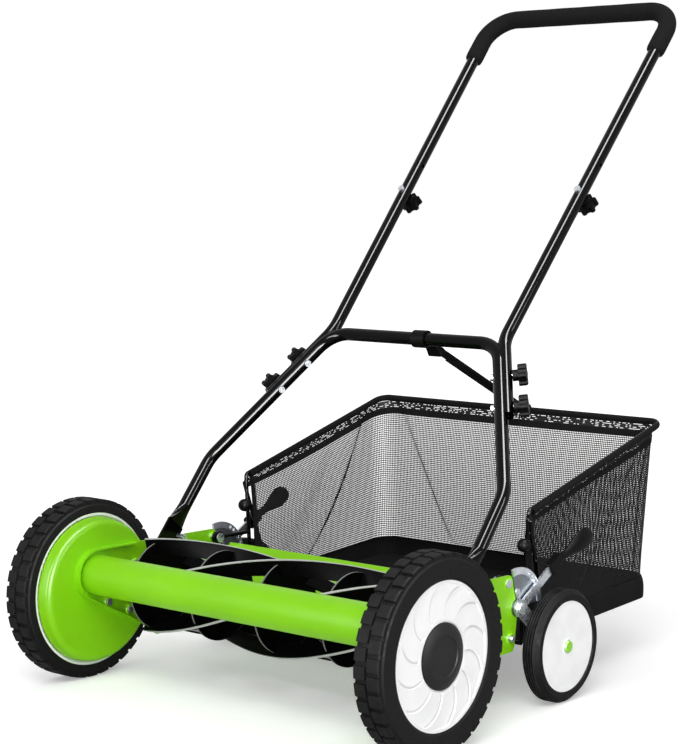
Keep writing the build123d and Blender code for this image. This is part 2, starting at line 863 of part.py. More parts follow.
# Pivot bolts of the height lever and of the handle
lever_nut_face = lever_outer_face + running_gap
lever_pivot_bolt = stepped_bar(
    (0, lever_pivot_y, lever_pivot_z),
    across,
    (
        (plate_inner_face - bolt_head_height, plate_inner_face, pivot_bolt_radius + 4.0),
        (plate_inner_face, lever_nut_face, pivot_bolt_radius),
        (lever_nut_face, lever_nut_face + nut_height, pivot_bolt_radius + 3.0),
    ),
)
spacer_end = lever_inner_face - running_gap
lever_spacer = stepped_bar(
    (0, lever_pivot_y, lever_pivot_z),
    across,
    ((plate_outer_face + sector_thickness, spacer_end, pivot_bolt_radius + 4.0),),
)
flat_inner_face = leg_x - flat_thickness / 2
handle_head_face = flat_inner_face - running_gap
handle_pivot_bolt = stepped_bar(
    (0, handle_pivot_y, handle_pivot_z),
    across,
    (
        (handle_head_face - nut_height, handle_head_face, handle_bolt_radius + 4.0),
        (handle_head_face, plate_outer_face, handle_bolt_radius),
        (plate_outer_face, plate_outer_face + nut_height, handle_bolt_radius + 3.0),
    ),
)
with BuildPart() as pivot_bolts:
    add(lever_pivot_bolt)
    add(lever_spacer)
    add(handle_pivot_bolt)
write_pair(pivot_bolts.part, "pivot_bolts")

# Height lever: boss, arm down to the rear axle and strip up to the grip
lever_plane = Plane(
    origin=(lever_inner_face, lever_pivot_y, lever_pivot_z),
    x_dir=(0, cos(radians(lever_strip_angle)), sin(radians(lever_strip_angle))),
    z_dir=(1, 0, 0),
)
arm_run = hypot(rear_wheel_y - lever_pivot_y, rear_wheel_radius - lever_pivot_z)
arm_angle = degrees(atan2(rear_wheel_radius - lever_pivot_z, rear_wheel_y - lever_pivot_y))
with BuildPart() as height_lever:
    with BuildSketch(lever_plane):
        Circle(lever_boss_radius)
        with Locations((lever_strip_length / 2, 0)):
            Rectangle(lever_strip_length, lever_strip_width)
        with Locations(Location((0, 0), arm_angle - lever_strip_angle)):
            with Locations((arm_run / 2, 0)):
                SlotCenterToCenter(arm_run, lever_arm_width)
            with Locations((arm_run, 0)):
                Circle(rear_axle_radius, mode=Mode.SUBTRACT)
        Circle(pivot_bolt_radius + running_fit, mode=Mode.SUBTRACT)
    extrude(amount=lever_thickness)
write_pair(height_lever.part, "height_lever")

def across_lever(along, side, out):
    """Plane across the lever's strip, at a place along, beside and outward of the strip."""
    return Plane(lever_plane.from_local_coords((along, side, out)), lever_plane.z_dir, lever_plane.x_dir)


# Lever grip: a sleeve over the strip that runs out into a spoon
lever_sleeve_width = lever_strip_width + 2 * lever_sleeve_side
sleeve_end = lever_sleeve_start + lever_sleeve_length
spoon_stations = (
    (sleeve_end - 2.0, 0.0, 0.0, 4.5, 0.28 * spoon_width),
    (spoon_neck, 0.4, 0.4, 4.5, 0.24 * spoon_width),
    (spoon_middle, 0.7, 1.0, 4.5, 0.50 * spoon_width),
    (spoon_end, 1.0, 1.0, 3.0, 0.26 * spoon_width),
)
with BuildPart() as lever_grip:
    with BuildSketch(lever_plane.offset(-lever_sleeve_wall)):
        with Locations((lever_sleeve_start + lever_sleeve_length / 2, 0)):
            RectangleRounded(lever_sleeve_length, lever_sleeve_width, lever_sleeve_side)
    extrude(amount=lever_thickness + 2 * lever_sleeve_wall)
    for along, drop, out, half_depth, half_width in spoon_stations:
        with BuildSketch(across_lever(along, -drop * spoon_drop, lever_thickness / 2 + out * spoon_out)):
            Ellipse(half_depth, half_width)
    loft()
    with BuildSketch(lever_plane):
        with Locations((lever_strip_length / 2, 0)):
            Rectangle(lever_strip_length, lever_strip_width)
    extrude(amount=lever_thickness, mode=Mode.SUBTRACT)
write_pair(lever_grip.part, "lever_grip")

# Rear stub axle, fixed in the lever
rear_point = (0, rear_wheel_y, rear_wheel_radius)
axle_tip = rear_wheel_outer_face - 2.5
rear_axle_bar = stepped_bar(
    rear_point,
    across,
    (
        (lever_inner_face, axle_tip, rear_axle_radius),
        (lever_outer_face, rear_wheel_inner_face - running_gap, rear_axle_radius + 4.0),
    ),
)
with BuildPart() as rear_axle:
    add(rear_axle_bar)
write_pair(rear_axle.part, "rear_axle")

# Rear tyre with round grooves on its inner half
rear_plane = radial_plane(rear_wheel_y, rear_wheel_radius)
rear_seat = rear_rim_radius + 2.4
rear_rim_face = rear_wheel_outer_face - 2.0
with BuildPart() as rear_tyre:
    with BuildSketch(rear_plane):
        with BuildLine():
            Polyline(
                (rear_wheel_inner_face, rear_seat),
                (rear_wheel_inner_face, rear_wheel_radius - 4.0),
                (rear_wheel_inner_face + 3.5, rear_wheel_radius),
                (rear_wheel_outer_face - 7.0, rear_wheel_radius),
                (rear_wheel_outer_face, rear_wheel_radius - 6.5),
                (rear_wheel_outer_face, rear_rim_radius + 1.4),
                (rear_rim_face, rear_rim_radius),
                (rear_rim_face - 2.0, rear_rim_radius),
                (rear_rim_face - 2.0, rear_seat),
                close=True,
            )
        make_face()
        for groove in range(rear_groove_count):
            groove_x = rear_wheel_inner_face + 5.0 + groove * 1.8 * rear_groove_width
            with Locations((groove_x, rear_wheel_radius)):
                Rectangle(rear_groove_width, 2 * rear_groove_depth, mode=Mode.SUBTRACT)
    revolve(axis=rear_axis)
write_pair(rear_tyre.part, "rear_tyre")

# Rear wheel rim: hub tube, outer disc and the band under the tyre
with BuildPart() as rear_rim:
    with BuildSketch(rear_plane):
        with BuildLine():
            Polyline(
                (rear_wheel_inner_face, rear_axle_radius + running_fit),
                (axle_tip + running_gap, rear_axle_radius + running_fit),
                (axle_tip + running_gap, rear_cap_radius - 1.0),
                (rear_rim_face, rear_cap_radius - 1.0),
                (rear_rim_face, rear_rim_radius),
                (rear_rim_face - 2.0, rear_rim_radius),
                (rear_rim_face - 2.0, rear_seat),
                (rear_wheel_inner_face, rear_seat),
                (rear_wheel_inner_face, rear_seat - 5.0),
                (rear_rim_face - 4.5, rear_seat - 5.0),
                (rear_rim_face - 4.5, 2 * rear_axle_radius + 1.0),
                (rear_wheel_inner_face, 2 * rear_axle_radius + 1.0),
                close=True,
            )
        make_face()
    revolve(axis=rear_axis)
write_pair(rear_rim.part, "rear_rim")

# Small cap on the rear wheel
rear_cap_bar = stepped_bar(
    rear_point,
    across,
    (
        (rear_rim_face, rear_rim_face + 1.0, rear_cap_radius + 1.5),
        (rear_rim_face + 1.0, rear_rim_face + rear_cap_height, rear_cap_radius),
    ),
)
with BuildPart() as rear_cap:
    add(rear_cap_bar)
    fillet(rear_cap.faces().sort_by(Axis.X)[-1].edges(), 1.2)
write_pair(rear_cap.part, "rear_cap")

# Places along the handle
pivot_point = Vector(leg_x, handle_pivot_y, handle_pivot_z)
leg_corner = Vector(leg_x, leg_bend_y, leg_bend_z)
bar_corner = Vector(crossbar_corner_x, crossbar_y, crossbar_z)
leg_line = (leg_corner - pivot_point).normalized()
tube_start = pivot_point + leg_line * (flat_length + flat_blend)
lap_line = (leg_corner - bar_corner).normalized()
lap_side = Vector(1.0, 0.5, 0.05)
lap_normal = (lap_side - lap_line * lap_side.dot(lap_line)).normalized()
mid_corner = bar_corner - lap_line * mid_start + lap_normal * lap_offset
mid_foot = mid_corner + lap_line * mid_lap
grip_corner = Vector(grip_corner_x, grip_corner_y, grip_corner_z)
rise_line = (grip_corner - mid_corner).normalized()
mid_head = mid_corner + rise_line * mid_rise
joint_normal = Vector(0, rise_line.Z, -rise_line.Y).normalized()
joint_spot = mid_head + rise_line * joint_bolt_rise
spare_spot = mid_head + rise_line * spare_hole_rise
lap_spots = [bar_corner + lap_line * reach for reach in lap_bolt_spots]
bolt_hole = knob_bolt_radius + running_fit

# Holes for the six bolts and the two spare adjusting holes
hole_list = []
for spot in lap_spots:
    lap_hole = (-tube_diameter, lap_offset + tube_diameter, bolt_hole)
    hole_list.append(stepped_bar(spot, lap_normal, (lap_hole,)))
tube_hole = (-tube_diameter, tube_diameter, bolt_hole)
hole_list.append(stepped_bar(joint_spot, joint_normal, (tube_hole,)))
hole_list.append(stepped_bar(spare_spot, across, (tube_hole,)))
hole_list.extend([mirror(hole, about=Plane.YZ) for hole in list(hole_list)])


def flattened_end():
    """Flattened end of the lower handle, from the round tube to the eye of the pivot."""
    with BuildPart() as end:
        with BuildSketch(Plane(origin=tube_start, x_dir=across, z_dir=-leg_line)):
            Circle(tube_radius)
        with BuildSketch(Plane(origin=pivot_point + leg_line * flat_length, x_dir=across, z_dir=-leg_line)):
            Ellipse(flat_thickness / 2, flat_width / 2)
        loft()
        flat_origin = (flat_inner_face, handle_pivot_y, handle_pivot_z)
        with BuildSketch(Plane(origin=flat_origin, x_dir=leg_line, z_dir=across)):
            with Locations((flat_length / 2, 0)):
                Rectangle(flat_length, flat_width)
            Circle(flat_width / 2)
            Circle(handle_bolt_radius + running_fit, mode=Mode.SUBTRACT)
        extrude(amount=flat_thickness)
    return end.part


# Lower handle: one bent tube with flattened ends
lower_route = [tube_start, leg_corner, bar_corner, flip(bar_corner), flip(leg_corner), flip(tube_start)]
lower_bends = (leg_bend, crossbar_bend, crossbar_bend, leg_bend)
lower_tube = bent_rod(lower_route, lower_bends, tube_radius, tube_radius - tube_wall)
lower_end = flattened_end()
with BuildPart() as lower_handle:
    add(lower_tube)
    add(lower_end)
    add(mirror(lower_end, about=Plane.YZ))
    for hole in hole_list:
        add(hole, mode=Mode.SUBTRACT)
write(lower_handle.part, "lower_handle")

# Middle tube: pressed round the leg of the lower handle, bent at the crossbar, with a spigot on top
mid_route = [mid_foot, mid_corner, mid_head]
mid_skin = bent_rod(mid_route, (mid_bend,), tube_radius)
mid_bore = bent_rod(mid_route, (mid_bend,), tube_radius - tube_wall)
leg_room = bent_rod(lower_route, lower_bends, tube_radius + running_gap)
leg_saddle = bent_rod(lower_route, lower_bends, tube_radius + running_gap + tube_wall)
with BuildPart() as mid_hollow:
    add(mid_bore)
    add(leg_saddle, mode=Mode.SUBTRACT)
spigot = stepped_bar(
    mid_head,
    rise_line,
    ((-spigot_plug, 0, tube_radius - tube_wall / 2), (0, spigot_length, tube_radius - tube_wall - slot_fit)),
)
with BuildPart() as mid_tube:
    add(mid_skin)
    add(leg_room, mode=Mode.SUBTRACT)
    add(mid_hollow.part, mode=Mode.SUBTRACT)
    add(spigot)
    for hole in hole_list:
        add(hole, mode=Mode.SUBTRACT)
write_pair(mid_tube.part, "mid_tube")

# Upper handle: one bent tube slipped over the two spigots
upper_tube = bent_rod(
    [mid_head, grip_corner, flip(grip_corner), flip(mid_head)],
    (grip_bend, grip_bend),
    tube_radius,
    tube_radius - tube_wall,
)
with BuildPart() as upper_handle:
    add(upper_tube)
    for hole in hole_list:
        add(hole, mode=Mode.SUBTRACT)
write(upper_handle.part, "upper_handle")

# Foam sleeve round the top of the upper handle
grip_start = grip_corner - rise_line * grip_leg
foam_tube = bent_rod(
    [grip_start, grip_corner, flip(grip_corner), flip(grip_start)],
    (grip_bend, grip_bend),
    grip_diameter / 2,
    tube_radius,
)
with BuildPart() as foam_grip:
    add(foam_tube)
write(foam_grip.part, "foam_grip")

# Bolts of the handle joints, with their heads on the side away from the knobs
lap_seat = lap_offset + tube_radius + running_gap
joint_seat = tube_radius + running_gap
knob_depth = knob_neck + 0.6 * knob_thickness
handle_bolt_list = []
for spot in lap_spots:
    handle_bolt_list.append(
        stepped_bar(
            spot,
            lap_normal,
            (
                (-tube_radius - bolt_head_height, -tube_radius, knob_bolt_head),
                (-tube_radius, lap_seat + knob_depth, knob_bolt_radius),
            ),
        )
    )
handle_bolt_list.append(
    stepped_bar(
        joint_spot,
        joint_normal,
        (
            (-tube_radius - bolt_head_height, -tube_radius, knob_bolt_head),
            (-tube_radius, joint_seat + knob_depth, knob_bolt_radius),
        ),
    )
)
with BuildPart() as handle_bolts:
    for bolt in handle_bolt_list:
        add(bolt)
        add(mirror(bolt, about=Plane.YZ))
write(handle_bolts.part, "handle_bolts")


def star_knob(seat, direction):
    """Six-lobed knob on a round neck, bored for its bolt."""
    lobe = knob_radius / 4
    with BuildPart() as knob:
        with BuildSketch(Plane(origin=seat, z_dir=direction)):
            Circle(knob_neck_radius)
        extrude(amount=knob_neck)
        with BuildSketch(Plane(origin=seat + direction * knob_neck, z_dir=direction)):
            Circle(knob_radius - lobe)
            with PolarLocations(knob_radius - lobe, knob_lobes):
                Circle(lobe)
        extrude(amount=knob_thickness)
        with BuildSketch(Plane(origin=seat, z_dir=direction)):
            Circle(bolt_hole)
        extrude(amount=knob_depth + running_gap, mode=Mode.SUBTRACT)
        fillet(knob.faces().sort_by(Axis(seat, direction))[-1].edges(), knob_edge)
    return knob.part


# Six star knobs
knob_places = {
    "lap_upper_knob": (lap_spots[0] + lap_normal * lap_seat, lap_normal),
    "lap_lower_knob": (lap_spots[1] + lap_normal * lap_seat, lap_normal),
    "joint_knob": (joint_spot + joint_normal * joint_seat, joint_normal),
}
for knob_name, (knob_seat, knob_line) in knob_places.items():
    write_pair(star_knob(knob_seat, knob_line), knob_name)


def bag_half_width(z):
    """Half width of the bag at a height; the walls lean outward."""
    return bag_base_half_width + bag_side_slope * z


def bag_floor(y):
    """Height of the bag's floor line, which rises to the rear."""
    share = (y - bag_front_y) / (bag_back_y - bag_front_y)
    return bag_front_floor + (bag_back_floor - bag_front_floor) * share


def bag_top(y):
    """Height of the bag's top edge, which rises to the rear."""
    share = (y - bag_front_y) / (bag_back_y + bag_back_lean - bag_front_y)
    return bag_front_top + (bag_back_top - bag_front_top) * share


def bag_block(side_inset, floor_rise, back_inset, beyond):
    """Solid of the bag, drawn in by its insets and carried on past its open faces."""
    low = bag_front_floor - 2 * beyond
    high = bag_back_top + 2 * beyond
    low_half = bag_half_width(low) - side_inset
    high_half = bag_half_width(high) - side_inset
    front = bag_front_y - beyond
    back_low = bag_back_y - back_inset
    back_high = back_low + bag_back_lean
    with BuildPart() as block:
        with BuildSketch(Plane.XZ.offset(-front)):
            Polygon((-low_half, low), (low_half, low), (high_half, high), (-high_half, high), align=None)
        extrude(amount=front - back_high)
        with BuildSketch(Plane.YZ.offset(-high_half)):
            Polygon(
                (front, bag_floor(front) + floor_rise),
                (back_low, bag_floor(back_low) + floor_rise),
                (back_high, bag_top(back_high) + beyond),
                (front, bag_top(front) + beyond),
                align=None,
            )
        extrude(amount=2 * high_half, mode=Mode.INTERSECT)
    return block.part


# Bag walls: left, back and right in one, open in front and on top
rim_rise = wire_radius + running_gap
rim_back = (bag_back_y + bag_back_lean - bag_wall / 2, bag_back_top + rim_rise)
bag_outside = bag_block(0.0, 0.0, 0.0, 0.0)
bag_hollow = bag_block(bag_wall, -bag_wall, bag_wall, 20.0)
loop_inner = wire_radius + strap_loop_gap
loop_outer = loop_inner + strap_thickness
with BuildPart() as catcher_mesh:
    add(bag_outside)
    add(bag_hollow, mode=Mode.SUBTRACT)
    with BuildSketch(Plane.YZ.offset(strap_x - strap_width / 2 - strap_loop_gap)):
        with Locations(rim_back):
            Circle(loop_outer + strap_loop_gap)
    extrude(amount=strap_width + 2 * strap_loop_gap, mode=Mode.SUBTRACT)
write(catcher_mesh.part, "catcher_mesh")

# Bag floor: a stiff fabric slab between the walls
floor_above = bag_block(0.0, bag_floor_thickness, -30.0, 20.0)
floor_room = bag_block(bag_wall, 0.0, bag_wall, 0.0)
with BuildPart() as catcher_floor:
    add(floor_room)
    add(floor_above, mode=Mode.SUBTRACT)
write(catcher_floor.part, "catcher_floor")

# Catcher wire frame: rim, front posts, bottom bar, braces and hook eyes
post_y = bag_front_y - rim_rise
post_foot_z = bag_front_floor + post_foot_rise
rim_front_z = bag_front_top + rim_rise


def wall_middle(z):
    """Half width to the middle of the bag's side wall."""
    return bag_half_width(z) - bag_wall / 2


rim_front_corner = Vector(wall_middle(rim_front_z), post_y, rim_front_z)
rim_back_corner = Vector(wall_middle(rim_back[1]), rim_back[0], rim_back[1])
post_foot = Vector(wall_middle(post_foot_z), post_y, post_foot_z)
rim_wire = bent_rod(
    [
        post_foot,
        rim_front_corner,
        rim_back_corner,
        flip(rim_back_corner),
        flip(rim_front_corner),
        flip(post_foot),
    ],
    (wire_bend / 3, wire_bend, wire_bend, wire_bend / 3),
    wire_radius,
)
eye_middle = plate_inner_face - pin_reach + 2.0 + eye_width / 2
hook_root = Vector(wall_middle(pin_z), post_y, pin_z)
hook_tip = Vector(eye_middle, pin_y + pin_radius + wire_radius, pin_z)
brace_out = bag_wall / 2 + wire_radius + running_gap
brace_top_z = rim_front_z - brace_top_drop
brace_top = Vector(wall_middle(brace_top_z) + brace_out, post_y, brace_top_z)
brace_foot_z = bag_front_floor + brace_foot_rise
brace_foot = Vector(wall_middle(brace_foot_z) + brace_out, brace_foot_y, brace_foot_z)
post_line = (rim_front_corner - post_foot).normalized()
brace_root = post_foot + post_line * ((rim_front_z - brace_root_drop - post_foot_z) / post_line.Z)
wire_list = [
    bent_rod([hook_root, hook_tip], (), wire_radius),
    bent_rod([brace_top, brace_foot], (), wire_radius),
    bent_rod([brace_root, brace_top], (), wire_radius),
]
eye_plane = Plane.YZ.offset(eye_middle - eye_width / 2)
with BuildPart() as hook_eye:
    with BuildSketch(eye_plane):
        with Locations((pin_y, pin_z)):
            Circle(eye_radius)
    extrude(amount=eye_width)
    with Locations(brace_top, post_foot):
        Sphere(wire_radius)
    for wire in wire_list:
        add(wire)
    with BuildSketch(eye_plane):
        with Locations((pin_y, pin_z)):
            Circle(pin_radius + running_fit)
    extrude(amount=eye_width, mode=Mode.SUBTRACT)
with BuildPart() as catcher_frame:
    add(rim_wire)
    add(bent_rod([post_foot, flip(post_foot)], (), wire_radius))
    add(hook_eye.part)
    add(mirror(hook_eye.part, about=Plane.YZ))
write(catcher_frame.part, "catcher_frame")

# Round plastic knobs clipped on the two front posts
post_knob_spot = Vector(wall_middle(post_knob_z), post_knob_y, post_knob_z)
with BuildPart() as post_knobs:
    with Locations(post_knob_spot, flip(post_knob_spot)):
        Sphere(post_knob_radius)
    add(rim_wire, mode=Mode.SUBTRACT)
write(post_knobs.part, "post_knobs")

# Strap: clip on the crossbar, webbing and the loop round the rim wire
strap_run = hypot(rim_back[0] - crossbar_y, rim_back[1] - crossbar_z)
strap_dir = (0, (rim_back[0] - crossbar_y) / strap_run, (rim_back[1] - crossbar_z) / strap_run)
strap_plane = Plane(origin=(strap_x, crossbar_y, crossbar_z), x_dir=strap_dir, z_dir=across)
clip_inner = tube_radius + running_gap
clip_outer = clip_inner + clip_wall
with BuildPart() as strap_clip:
    with BuildSketch(strap_plane.offset(-clip_width / 2)):
        Circle(clip_outer)
        Polygon(
            (0, clip_wall),
            (clip_tail, clip_wall),
            (clip_tail, -clip_wall),
            (clip_tail - clip_wall, -clip_hook),
            (clip_tail - strap_tuck, -clip_wall),
            (0, -clip_wall),
            align=None,
        )
        Circle(clip_inner, mode=Mode.SUBTRACT)
    extrude(amount=clip_width)
    with BuildSketch(strap_plane.offset(-clip_width / 2)):
        with Locations((clip_tail - strap_tuck / 2, 0)):
            Rectangle(strap_tuck, strap_thickness)
    extrude(amount=clip_width, mode=Mode.SUBTRACT)
write(strap_clip.part, "strap_clip")

with BuildPart() as strap_web:
    with BuildSketch(strap_plane.offset(-strap_width / 2)):
        with Locations((strap_run, 0)):
            Circle(loop_outer)
        strap_end = strap_run - loop_inner - strap_thickness / 2
        with Locations(((clip_tail - strap_tuck + strap_end) / 2, 0)):
            Rectangle(strap_end - clip_tail + strap_tuck, strap_thickness)
        with Locations((strap_run, 0)):
            Circle(loop_inner, mode=Mode.SUBTRACT)
    extrude(amount=strap_width)
write(strap_web.part, "strap_web")
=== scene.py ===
from math import radians

import bpy
import numpy as np
from bpy.props import FloatProperty, FloatVectorProperty, PointerProperty
from bpy.types import Operator, Panel, PropertyGroup
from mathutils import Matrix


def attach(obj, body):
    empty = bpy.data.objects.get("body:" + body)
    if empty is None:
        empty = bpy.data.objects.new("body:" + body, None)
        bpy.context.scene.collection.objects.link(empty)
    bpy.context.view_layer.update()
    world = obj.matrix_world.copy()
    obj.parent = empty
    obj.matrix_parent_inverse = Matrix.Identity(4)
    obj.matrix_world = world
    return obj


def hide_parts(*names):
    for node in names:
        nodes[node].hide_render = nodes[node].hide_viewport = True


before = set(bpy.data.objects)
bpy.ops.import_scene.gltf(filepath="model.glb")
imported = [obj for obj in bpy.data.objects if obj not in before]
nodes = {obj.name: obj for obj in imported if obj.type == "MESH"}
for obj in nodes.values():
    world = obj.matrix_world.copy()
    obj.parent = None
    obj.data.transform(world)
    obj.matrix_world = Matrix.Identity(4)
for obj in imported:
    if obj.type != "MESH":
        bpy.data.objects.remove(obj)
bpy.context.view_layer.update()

bl_info = {
    "name": "Reel Mower Dressing",
    "version": (1, 0, 0),
    "blender": (4, 5, 0),
    "location": "View3D > Sidebar > Mower",
    "description": "Finishes, netting, bindings, grip and stage for a push reel mower",
    "category": "Object",
}

SIDES = ("left", "right")

# Bag and handle places in metres: rim, walls and handle as in the solids, base and seam as in the photo
BAG_FRONT = 0.290
BAG_BACK = 0.616
BAG_LEAN = 0.008
BAG_BASE = (0.0775, 0.0905)
BAG_SEAM = (0.1010, 0.1215)
BAG_TOP = (0.257, 0.347)
BAG_HALF = 0.2414
BAG_SLOPE = 0.06
BAG_WALL = 0.0016
BAG_BULGE = 0.005
RIM_RISE = 0.0033
HEM = (0.938, 0.990)
BAND = (0.896, 0.942)
NET_START = 0.008
NET_TOP = 0.905
PLAN_HALF = 0.256
PLAN_DEPTH = 0.328
PLAN_CORNER = 0.032
PLAN_LENGTH = 2 * (PLAN_DEPTH + PLAN_HALF) - (4 - np.pi) * PLAN_CORNER
PLAN_TURN = (PLAN_DEPTH - (1 - np.pi / 4) * PLAN_CORNER) / PLAN_LENGTH
REEL_AXIS = (0.0, 0.084, 0.127)
WHEEL_AXIS = (0.0, 0.0, 0.127)
REAR_AXIS = (0.0, 0.315, 0.077)
LEVER_AXIS = (0.0, 0.241, 0.138)
CROSSBAR = np.array([0.015, 0.365, 0.474])
MIRROR = np.array([-1.0, 1.0, 1.0])
NET_SIDE_HEIGHT = 0.172
NET_BACK_HEIGHT = 0.204
HEM_HEIGHT = 0.0117
HEM_CELLS = (14, 380)
HEM_OPEN = 0.42
HANDLE_KNEE = np.array([0.15463, 0.37192, 0.47844])
GRIP_CORNER = np.array([0.1708, 0.802, 0.961])
GRIP_DROP = 0.0907
GRIP_BEND = 0.047
GRIP_RADIUS = 0.0140
STRAP_HALF = 0.0125
STRAP_THICK = 0.0012
STRAP_START = 0.031
STRAP_PINCH = 0.028
LOOP_RADIUS = 0.0070

# Radii about an axis between which a finish changes, in metres
# Tread radii over which dust and a painted highlight lighten the tyres
TREAD_DUST_AND_HIGHLIGHT = (0.1238, 0.1262)
REAR_TREAD_DUST_AND_HIGHLIGHT = (0.0756, 0.0769)
BLADE_GROUND = (0.0686, 0.0691)
DISC_GROUND = (0.0625, 0.0630)
# Vane radii, between which the wheel-face grooves carry painted shade
VANE_INNER = 0.0466
VANE_REACH = 0.0423
SECTOR_EDGE = 0.0447
REAR_CAP_EDGE = 0.0079


# Colours and sizes that a user may change

class FinishSettings(PropertyGroup):
    """Colours of the painted, moulded and woven pieces."""
    green: FloatVectorProperty(
        name="Green paint", description="Colour of the chassis paint",
        subtype="COLOR", size=3, min=0, max=1, default=(0.240, 0.640, 0.003))
    black: FloatVectorProperty(
        name="Black paint", description="Colour of the handle paint",
        subtype="COLOR", size=3, min=0, max=1, default=(0.0015, 0.0015, 0.0016))
    rubber: FloatVectorProperty(
        name="Rubber", description="Colour of the tyres",
        subtype="COLOR", size=3, min=0, max=1, default=(0.0060, 0.0060, 0.0060))
    white: FloatVectorProperty(
        name="White plastic", description="Colour of the wheel discs",
        subtype="COLOR", size=3, min=0, max=1, default=(0.95, 0.95, 0.95))
    thread: FloatVectorProperty(
        name="Thread", description="Colour of the netting",
        subtype="COLOR", size=3, min=0, max=1, default=(0.004, 0.004, 0.004))
    binding: FloatVectorProperty(
        name="Binding", description="Colour of the bag's bindings and floor",
        subtype="COLOR", size=3, min=0, max=1, default=(0.0016, 0.0016, 0.0016))


class BagSettings(PropertyGroup):
    """Netting and sag of the grass bag."""
    pitch: FloatProperty(
        name="Mesh pitch", description="Distance between threads",
        unit="LENGTH", min=0.001, max=0.02, default=0.0030)
    warp_width: FloatProperty(
        name="Upright thread", description="Width of one upright thread",
        unit="LENGTH", min=0.0002, max=0.005, default=0.0009)
    weft_width: FloatProperty(
        name="Level thread", description="Width of one level thread",
        unit="LENGTH", min=0.0002, max=0.005, default=0.0014)
    thread_depth: FloatProperty(
        name="Thread depth", description="Thickness of one thread",
        unit="LENGTH", min=0.0002, max=0.005, default=0.0005)
    sag: FloatProperty(
        name="Wall sag", description="How far a wall hangs in at its middle",
        unit="LENGTH", min=0.0, max=0.03, default=0.009)
    floor_sag: FloatProperty(
        name="Floor sag", description="How far the floor hangs down at its middle",
        unit="LENGTH", min=0.0, max=0.03, default=0.003)


class StageSettings(PropertyGroup):
    """Camera and light of the studio."""
    camera_place: FloatVectorProperty(
        name="Camera", description="Place of the camera",
        subtype="XYZ", unit="LENGTH", size=3, default=(1.701, -1.858, 0.701))
    azimuth: FloatProperty(
        name="Azimuth", description="Turn of the camera about the vertical, in degrees", default=39.93)
    elevation: FloatProperty(
        name="Elevation", description="Downward tilt of the camera, in degrees", default=5.98)
    lens: FloatProperty(
        name="Lens", description="Focal length in millimetres", min=10, max=300, default=94.0)
    shift: FloatVectorProperty(
        name="Shift", description="Camera shift", size=2, default=(0.015, 0.0159))
    key_power: FloatProperty(
        name="Key light", description="Power of the large lamp, in watts", min=0, default=78.0)
    world_level: FloatProperty(
        name="Surround", description="Level of the light from all round", min=0, max=2, default=0.62)
    panel_level: FloatProperty(
        name="Panel level", description="Brightness of the panels that only show as reflections",
        min=0, default=100.0)


class MowerSettings(PropertyGroup):
    """All settings of the mower."""
    finish: PointerProperty(type=FinishSettings)
    bag: PointerProperty(type=BagSettings)
    stage: PointerProperty(type=StageSettings)


def settings():
    """The settings kept on the scene."""
    return bpy.context.scene.mower


# Node materials

